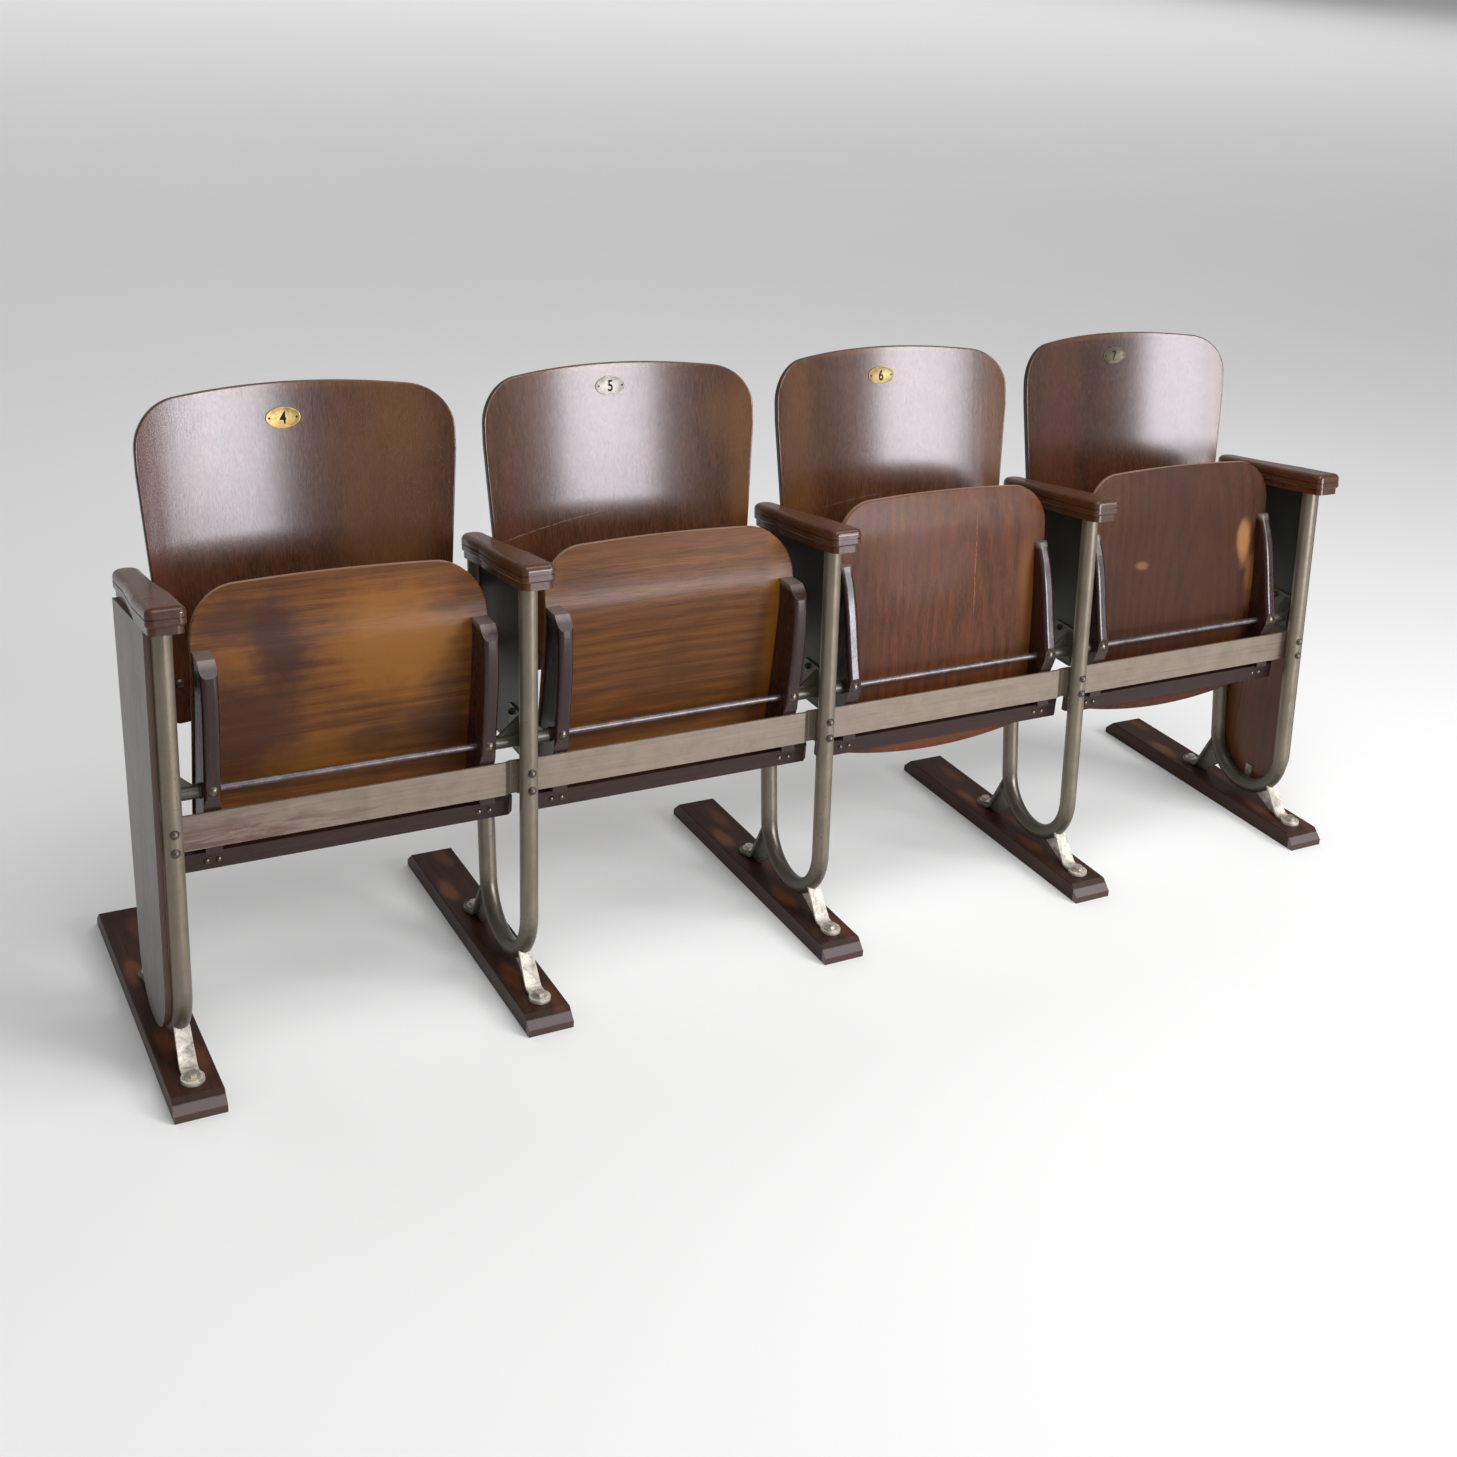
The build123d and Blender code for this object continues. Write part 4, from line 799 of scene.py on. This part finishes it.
class CINEMA_OT_foot_castings(CinemaOperator):
    """Models the foot castings under both legs of every standard"""

    bl_idname = "cinema.foot_castings"
    bl_label = "Foot Castings"

    def make(self, scene):
        sizes, tones = scene.cinema_foot, scene.cinema_metal
        rubbed = between("z", 0.092, 0.078, tuple(tones.casting), 0.0)
        weld = between("z", 0.082, 0.094, (0.045, 0.037, 0.028), 0.9, 0.5)
        rear = between("y", -0.11, -0.09, (0.09, 0.078, 0.062), 0.85, 0.2)
        iron = worn_iron(
            "cast_iron", "bare_iron", tuple(tones.casting), 0.5, 0.35, 0.35, 0.0012, (rubbed, weld, rear)
        )
        for name, foot in (("front_foot_castings", FRONT_FOOT), ("rear_foot_castings", REAR_FOOT)):
            parts = [shape(foot, sizes) for shape in (casting_strip, casting_lug, casting_web, casting_weld)]
            first = join(parts, name)
            first.data.transform(Matrix.Translation((-2 * PITCH * MM, 0, 0)))
            others = [copy(first, Matrix.Translation((n * PITCH * MM, 0, 0))) for n in range(1, 5)]
            piece = join([first, *others], name)
            coat_all(piece, iron)
            smooth(piece)
            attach(piece, "frame")
            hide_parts("foot_irons")


def back_place(number):
    """The matrix from a back's own axes to the row's."""
    across = (number - 2.5) * PITCH * MM
    lean = Matrix.Rotation(-math.radians(BACK_LEAN), 4, "X")
    return Matrix.Translation((across, BACK_FOOT[0] * MM, BACK_FOOT[1] * MM)) @ lean


def hug_back(piece, across):
    """Bends a flat piece on to the hollow of the back's face."""
    radius = BACK_RADIUS * MM
    for corner in piece.data.vertices:
        off = corner.co.x + across
        corner.co.y += math.sqrt(radius * radius - off * off) - radius


def plate_oval(sizes):
    """The oval plate with its raised rim, facing the front."""
    piece = begin(
        bpy.ops.mesh.primitive_cylinder_add, vertices=64, radius=0.5, depth=1, rotation=(math.pi / 2, 0, 0)
    )
    edit(piece)
    bpy.ops.mesh.select_all(action="SELECT")
    bpy.ops.transform.resize(value=(sizes.length, sizes.thickness + sizes.rim_rise, sizes.height))
    choose(piece, "FACE", lambda f: f.normal.y < -0.9)
    bpy.ops.mesh.inset(thickness=sizes.rim)
    pull((0, sizes.rim_rise, 0))
    for number in range(-5, 6):
        bpy.ops.mesh.select_all(action="SELECT")
        bpy.ops.mesh.bisect(plane_co=(number * sizes.length / 12, 0, 0), plane_no=(1, 0, 0))
    close()
    apply(piece, "BEVEL", width=0.00025, segments=2, limit_method="ANGLE", angle_limit=math.radians(40))
    return piece


def plate_nail(sizes, side):
    """A small domed nail head at one end of the oval."""
    place = (side * (sizes.length / 2 - 0.0052), -(sizes.thickness + sizes.rim_rise) / 2 + sizes.rim_rise, 0)
    piece = begin(bpy.ops.mesh.primitive_uv_sphere_add, segments=20, ring_count=10, radius=sizes.nail, location=place)
    edit(piece)
    bpy.ops.mesh.select_all(action="SELECT")
    bpy.ops.transform.resize(value=(1, 0.5, 1), center_override=place)
    bpy.ops.mesh.bisect(plane_co=(0, place[1] + 0.0004, 0), plane_no=(0, 1, 0), clear_outer=True, use_fill=True)
    close()
    return piece


def plate_number(sizes, figure):
    """The number, cut as a solid and set on the plate."""
    piece = begin(bpy.ops.object.text_add)
    piece.data.body = figure
    piece.data.align_x = "CENTER"
    piece.data.align_y = "CENTER"
    piece.data.size = sizes.digit * 1.38
    piece.data.offset = sizes.digit * 0.028
    piece.data.extrude = 0.00022
    bpy.ops.object.convert(target="MESH")
    piece = bpy.context.object
    low = min(v.co.y for v in piece.data.vertices)
    high = max(v.co.y for v in piece.data.vertices)
    left = min(v.co.x for v in piece.data.vertices)
    right = max(v.co.x for v in piece.data.vertices)
    front = -(sizes.thickness + sizes.rim_rise) / 2 + sizes.rim_rise - 0.0001
    centre = Matrix.Translation((-(left + right) / 2, -(low + high) / 2, 0))
    narrow = Matrix.Diagonal((0.8, 1.0, 1.0, 1.0))
    upright = Matrix.Translation((0, front, 0)) @ Matrix.Rotation(math.pi / 2, 4, "X")
    piece.data.transform(upright @ narrow @ centre)
    edit(piece)
    bpy.ops.mesh.select_all(action="SELECT")
    bpy.ops.mesh.remove_doubles(threshold=0.00001)
    bpy.ops.mesh.normals_make_consistent(inside=False)
    close()
    return piece


class CINEMA_OT_number_plates(CinemaOperator):
    """Models the four oval number plates with their numbers and nails"""

    bl_idname = "cinema.number_plates"
    bl_label = "Number Plates"

    def make(self, scene):
        sizes, tones = scene.cinema_plate, scene.cinema_metal
        inks = ((0.016, 0.012, 0.008), (0.03, 0.015, 0.01), (0.03, 0.024, 0.01), (0.022, 0.02, 0.012))
        shines = (0.5, 0.08, 0.5, 0.5)
        for number, (across, drop) in zip(SEATS, PLATE_PLACES):
            base = tuple(getattr(tones, f"plate_{number}"))
            metal = worn_iron(f"plate_metal_{number}", "plate_brass", base, 0.42, shines[number - 1], 0.35, 0.0002)
            ink = worn_iron(f"plate_number_{number}", "plate_brass", inks[number - 1], 0.6, 0.0, 0.2, 0.0001)
            ink.set(Specular_IOR_Level=0.06)
            oval = plate_oval(sizes)
            coat_all(oval, metal)
            dark = [plate_nail(sizes, -1), plate_nail(sizes, 1), plate_number(sizes, sizes.numbers[number - 1])]
            for part in dark:
                coat_all(part, ink)
            piece = join([oval, *dark], f"number_plate_{number}")
            hug_back(piece, across * MM)
            depth = BACK_HOLLOW * MM - 0.0001 - (sizes.thickness + sizes.rim_rise) / 2
            rise = (BACK_LENGTH - drop) * MM
            piece.data.transform(back_place(number) @ Matrix.Translation((across * MM, depth, rise)))
            smooth(piece)
            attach(piece, "frame")
            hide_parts("number_plates")


class CINEMA_OT_backs(CinemaOperator):
    """Finishes the four walnut backs"""

    bl_idname = "cinema.backs"
    bl_label = "Backs"

    def make(self, scene):
        wood = scene.cinema_wood
        # Near-black plywood tones on the backs' cut edges: painted shade on the side edges
        edge = {"facing": "y", "dark": (0.016, 0.008, 0.006), "light": (0.05, 0.022, 0.013)}
        lifts = (1.0, 1.08, 1.05, 0.82)
        for number in SEATS:
            marks = back_marks(number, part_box(f"back_{number}"), wood)
            colour = times(wood.back, lifts[number - 1])
            give(f"back_{number}", varnished(
                f"back_walnut_{number}", "back_wood", colour, "z", number * 3.1, 0.27, 0.42, 1.5, marks, None, edge
            ))


class CINEMA_OT_seats(CinemaOperator):
    """Finishes the four seat panels, each with its own veneer and stains"""

    bl_idname = "cinema.seats"
    bl_label = "Seat Panels"

    def make(self, scene):
        wood = scene.cinema_wood
        edge = {"facing": "y", "dark": (0.13, 0.062, 0.04), "light": (0.42, 0.27, 0.2)}
        for number in SEATS:
            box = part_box(f"seat_panel_{number}")
            wide = number <= 2
            centre = (box[0] + box[1]) / 2
            place = (centre.x + 0.08, centre.z - 0.06) if wide else (box[0].z - 0.2, centre.x + 0.06)
            figure = {"place": place, "rings": 330, "spread": 0.12, "weight": 0.1 if wide else 0.08}
            colour = {1: wood.wide_seat, 2: times(wood.wide_seat, 0.95), 3: wood.tall_seat, 4: times(wood.tall_seat, 0.6)}[number]
            give(f"seat_panel_{number}", varnished(
                f"seat_veneer_{number}", "seat_wood", tuple(colour), "x" if wide else "z", number * 5.3, 0.42, 0.08,
                1.3, seat_marks(number, box, wood), figure, edge,
            ))


class CINEMA_OT_rails(CinemaOperator):
    """Finishes the seat rails, with a painted highlight along their tops, and the cross boards"""

    bl_idname = "cinema.rails"
    bl_label = "Rails and Cross Boards"

    def make(self, scene):
        wood = scene.cinema_wood
        for number in SEATS:
            low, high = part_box(f"seat_rails_{number}")
            # A light grey band along the top of each rail: a painted highlight on the lit top facet, not wear
            worn = between("z", high.z - 0.012, high.z - 0.002, (0.3, 0.25, 0.22), 0.5, 0.5, 160)
            rail = varnished(
                f"rail_wood_{number}", "rail_wood", tuple(wood.rail), "z", number * 2.3, 0.25, 0.4, 0.9, (worn,)
            )
            give(f"seat_rails_{number}", rail)
            board = varnished(f"board_wood_{number}", "board_wood", tuple(wood.board), "x", number * 4.1, 0.42, 0.25)
            give(f"cross_board_{number}", board)


class CINEMA_OT_armrests(CinemaOperator):
    """Finishes the five armrests, with a painted grey sheen towards the rear"""

    bl_idname = "cinema.armrests"
    bl_label = "Armrests"

    def make(self, scene):
        wood = scene.cinema_wood
        for number in STANDARDS:
            # Greyer towards the rear: a painted sheen of reflected light, not rubbing
            rubbed = between("y", -0.09, 0.06, (0.11, 0.07, 0.055), 0.3, 0.6, 30)
            arm = varnished(
                f"arm_wood_{number}", "arm_wood", tuple(wood.arm), "y", number * 2.7, 0.3, 0.4, 1.0, (rubbed,)
            )
            give(f"armrest_{number}", arm)


class CINEMA_OT_end_panels(CinemaOperator):
    """Finishes the two end panels"""

    bl_idname = "cinema.end_panels"
    bl_label = "End Panels"

    def make(self, scene):
        wood = scene.cinema_wood
        edge = {"facing": "x", "dark": (0.04, 0.02, 0.012), "light": (0.14, 0.075, 0.045)}
        sides = (("end_panel_left", 9.4, wood.left_end, 0.05), ("end_panel_right", 6.1, wood.end, 0.45))
        for name, seed, colour, orange in sides:
            low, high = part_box(name)
            stains = [
                blot((low.y + 0.06, low.z + 0.12), (0.09, 0.12), tuple(wood.stain), 0.4, 0.5, "yz"),
                blot((high.y - 0.05, low.z + 0.3), (0.05, 0.2), (0.24, 0.1, 0.03), orange, 0.4, "yz"),
            ]
            wood_slot = varnished(
                name + "_wood", "end_wood", tuple(colour), "z", seed, 0.36, 0.35, 1.0, stains, None, edge
            )
            give(name, wood_slot)


class CINEMA_OT_skids(CinemaOperator):
    """Finishes the five skids, with orange wear on top and grey ends"""

    bl_idname = "cinema.skids"
    bl_label = "Skids"

    def make(self, scene):
        wood = scene.cinema_wood
        for number in STANDARDS:
            low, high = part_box(f"skid_{number}")
            centre = (low.x + high.x) / 2
            marks = []
            for step, (along, off) in enumerate(((-0.2, 0.02), (-0.12, -0.015), (-0.02, 0.012), (0.1, -0.018), (0.2, 0.01))):
                tint = (0.17, 0.062, 0.022) if step % 2 else (0.12, 0.038, 0.018)
                marks.append(blot((centre + off, along + 0.03 * math.sin(number * 2 + step)), (0.016, 0.05), tint, 0.6, 0.7, "xy"))
            marks.append(between("y", low.y + 0.0125, low.y + 0.0105, (0.2, 0.165, 0.165), 0.75, 0.4))
            marks.append(between("y", low.y + 0.0015, low.y + 0.0002, (0.075, 0.035, 0.025), 0.8, 0.2))
            give(f"skid_{number}", varnished(
                f"skid_wood_{number}", "skid_wood", tuple(wood.skid), "y", number * 1.9, 0.45, 0.15, 1.3, marks
            ))


class CINEMA_OT_tubes(CinemaOperator):
    """Paints the five bent tubes, scorched where the castings are welded"""

    bl_idname = "cinema.tubes"
    bl_label = "Tubes"

    def make(self, scene):
        tones = scene.cinema_metal
        scorch = between("z", 0.15, 0.095, (0.05, 0.043, 0.032), 0.75, 0.45, 110)
        for number in STANDARDS:
            paint = old_paint(
                f"tube_paint_{number}", "grey_paint", tuple(tones.tube), "z", number * 1.3, 0.35, 0.36, 0.45, (scorch,)
            )
            give(f"standard_tube_{number}", paint)


class CINEMA_OT_side_sheets(CinemaOperator):
    """Paints the five side sheets near black: dark grey-green paint darkened with painted shade"""

    bl_idname = "cinema.side_sheets"
    bl_label = "Side Sheets"

    def make(self, scene):
        paint = old_paint("sheet_paint", "dark_sheet", tuple(scene.cinema_metal.sheet), None, 2.0, 0.3, 0.45, 0.2)
        for number in STANDARDS:
            give(f"side_sheet_{number}", paint)


class CINEMA_OT_straps(CinemaOperator):
    """Paints the four straps, the first one rusty at its left end"""

    bl_idname = "cinema.straps"
    bl_label = "Straps"

    def make(self, scene):
        colour = tuple(scene.cinema_metal.strap)
        for number in SEATS:
            marks = (rust_smears,) if number == 1 else ()
            give(f"strap_{number}", old_paint(
                f"strap_paint_{number}", "strap_paint", colour, "x", number * 1.7, 0.12, 0.42, 0.3, marks
            ))


class CINEMA_OT_ironwork(CinemaOperator):
    """Finishes brackets, clips, bolts, screws and rods"""

    bl_idname = "cinema.ironwork"
    bl_label = "Brackets, Bolts and Rods"

    def make(self, scene):
        tones = scene.cinema_metal
        bracket = old_paint("bracket_paint", "grey_paint", tuple(tones.bracket), None, 4.0, 0.5, 0.42, 0.3)
        for node in ("hinge_brackets", "back_brackets"):
            give(node, bracket)
        screw = worn_iron("foot_screw_iron", "bare_iron", times(tones.casting, 0.9), 0.36, 0.7)
        clip = worn_iron("clip_iron", "bare_iron", times(tones.casting, 0.55), 0.42, 0.6)
        give("foot_screws", screw)
        give("end_panel_clips", clip)
        bolt = worn_iron("bolt_iron", "bare_iron", tuple(tones.bolt), 0.4, 0.7)
        for node in ("strap_bolts", "back_bolts", "bracket_bolts", "armrest_screws"):
            give(node, bolt)
        knob = worn_iron("knob_steel", "bare_iron", tuple(tones.knob), 0.3, 0.8, 0.3, 0.0002)
        rod = worn_iron("rod_steel", "bare_iron", tuple(tones.rod), 0.38, 0.6, 0.15, 0.00008)
        for number in SEATS:
            give(f"seat_fasteners_{number}", knob)
            give(f"axle_rod_{number}", rod)


def lamp(name, place, aim, spread, power, colour=(1, 1, 1), lights=True, mirrored=True):
    """A soft rectangle that faces a point."""
    data = bpy.data.lights.new(name, "AREA")
    data.shape = "RECTANGLE"
    data.size, data.size_y = spread
    data.energy = power
    data.color = colour
    made = bpy.data.objects.new(name, data)
    bpy.context.scene.collection.objects.link(made)
    way = Vector(aim) - Vector(place)
    made.matrix_world = Matrix.Translation(place) @ way.to_track_quat("-Z", "Y").to_matrix().to_4x4()
    made.visible_diffuse = lights
    made.visible_glossy = mirrored
    return made


class CINEMA_OT_stage(CinemaOperator):
    """Sets the pale floor, the soft light, the windows and the camera"""

    bl_idname = "cinema.stage"
    bl_label = "Stage and Camera"

    def make(self, scene):
        stage = scene.cinema_stage
        floor = begin(bpy.ops.mesh.primitive_plane_add, size=160)
        floor.name = "floor"
        paper = Finish("floor_paper")
        tint = paper.noise(paper.place, 0.8, 2)
        colour = tuple(stage.floor)
        paper.set(Base_Color=paper.tones(tint, times(colour, 0.99), times(colour, 1.02)), Roughness=0.8)
        paper.set(Specular_IOR_Level=0.1)
        floor.data.materials.append(paper.material)
        world = bpy.data.worlds.new("studio")
        world.use_nodes = True
        world.node_tree.nodes["Background"].inputs["Color"].default_value = (1, 1, 1, 1)
        world.node_tree.nodes["Background"].inputs["Strength"].default_value = stage.sky
        scene.world = world
        lamp("window", (2.1, -4.6, 1.2), (0, 0, 0.75), (2.3, 1.35), stage.window, (0.93, 0.92, 1.0), False)
        lamp("main_light", (2.6, -3.2, 2.6), (0, 0, 0.4), (2.0, 1.6), stage.key)
        lamp("overhead", (0.3, -0.8, 3.4), (0, 0, 0.4), (3.2, 1.6), stage.overhead)
        lamp("behind", (6.0, 24.0, 12.0), (6.0, 21.0, 0), (50.0, 30.0), stage.overhead * 62, mirrored=False)
        scene.view_settings.view_transform = "Standard"
        data = bpy.data.cameras.new("photo_camera")
        data.sensor_width = SENSOR_MM
        data.lens = FOCAL_PIXELS / PHOTO_PIXELS * SENSOR_MM
        data.shift_x = (PHOTO_PIXELS / 2 - CENTRE_PIXELS[0]) / PHOTO_PIXELS
        data.shift_y = (CENTRE_PIXELS[1] - PHOTO_PIXELS / 2) / PHOTO_PIXELS
        data.clip_end = 100
        camera = bpy.data.objects.new("photo_camera", data)
        scene.collection.objects.link(camera)
        camera.location = CAMERA_PLACE
        camera.rotation_euler = [math.radians(a) for a in CAMERA_TURN]
        scene.camera = camera


STEPS = (
    CINEMA_OT_stage, CINEMA_OT_backs, CINEMA_OT_seats, CINEMA_OT_rails, CINEMA_OT_armrests, CINEMA_OT_end_panels,
    CINEMA_OT_skids, CINEMA_OT_tubes, CINEMA_OT_side_sheets, CINEMA_OT_straps, CINEMA_OT_ironwork,
    CINEMA_OT_foot_castings, CINEMA_OT_number_plates,
)
GROUPS = {
    "cinema_wood": CinemaWood, "cinema_metal": CinemaMetal, "cinema_foot": CinemaFoot,
    "cinema_plate": CinemaPlate, "cinema_stage": CinemaStage,
}


class CINEMA_PT_row(Panel):
    """Lists the row's sizes, colours and steps"""

    bl_idname = "CINEMA_PT_row"
    bl_label = "Cinema Seats"
    bl_space_type = "VIEW_3D"
    bl_region_type = "UI"
    bl_category = "Cinema Seats"

    def draw(self, context):
        for step in STEPS:
            self.layout.operator(step.bl_idname)
        for name, group in GROUPS.items():
            box = self.layout.box()
            box.label(text=group.__doc__.rstrip("."))
            for key in group.__annotations__:
                box.prop(getattr(context.scene, name), key)


def register():
    for group in GROUPS.values():
        bpy.utils.register_class(group)
    for name, group in GROUPS.items():
        setattr(bpy.types.Scene, name, PointerProperty(type=group))
    for step in STEPS:
        bpy.utils.register_class(step)
    bpy.utils.register_class(CINEMA_PT_row)


def unregister():
    bpy.utils.unregister_class(CINEMA_PT_row)
    for step in reversed(STEPS):
        bpy.utils.unregister_class(step)
    for name, group in GROUPS.items():
        delattr(bpy.types.Scene, name)
        bpy.utils.unregister_class(group)


def main():
    register()
    for step in STEPS:
        getattr(bpy.ops.cinema, step.bl_idname.split(".")[1])()


if __name__ == "__main__":
    main()
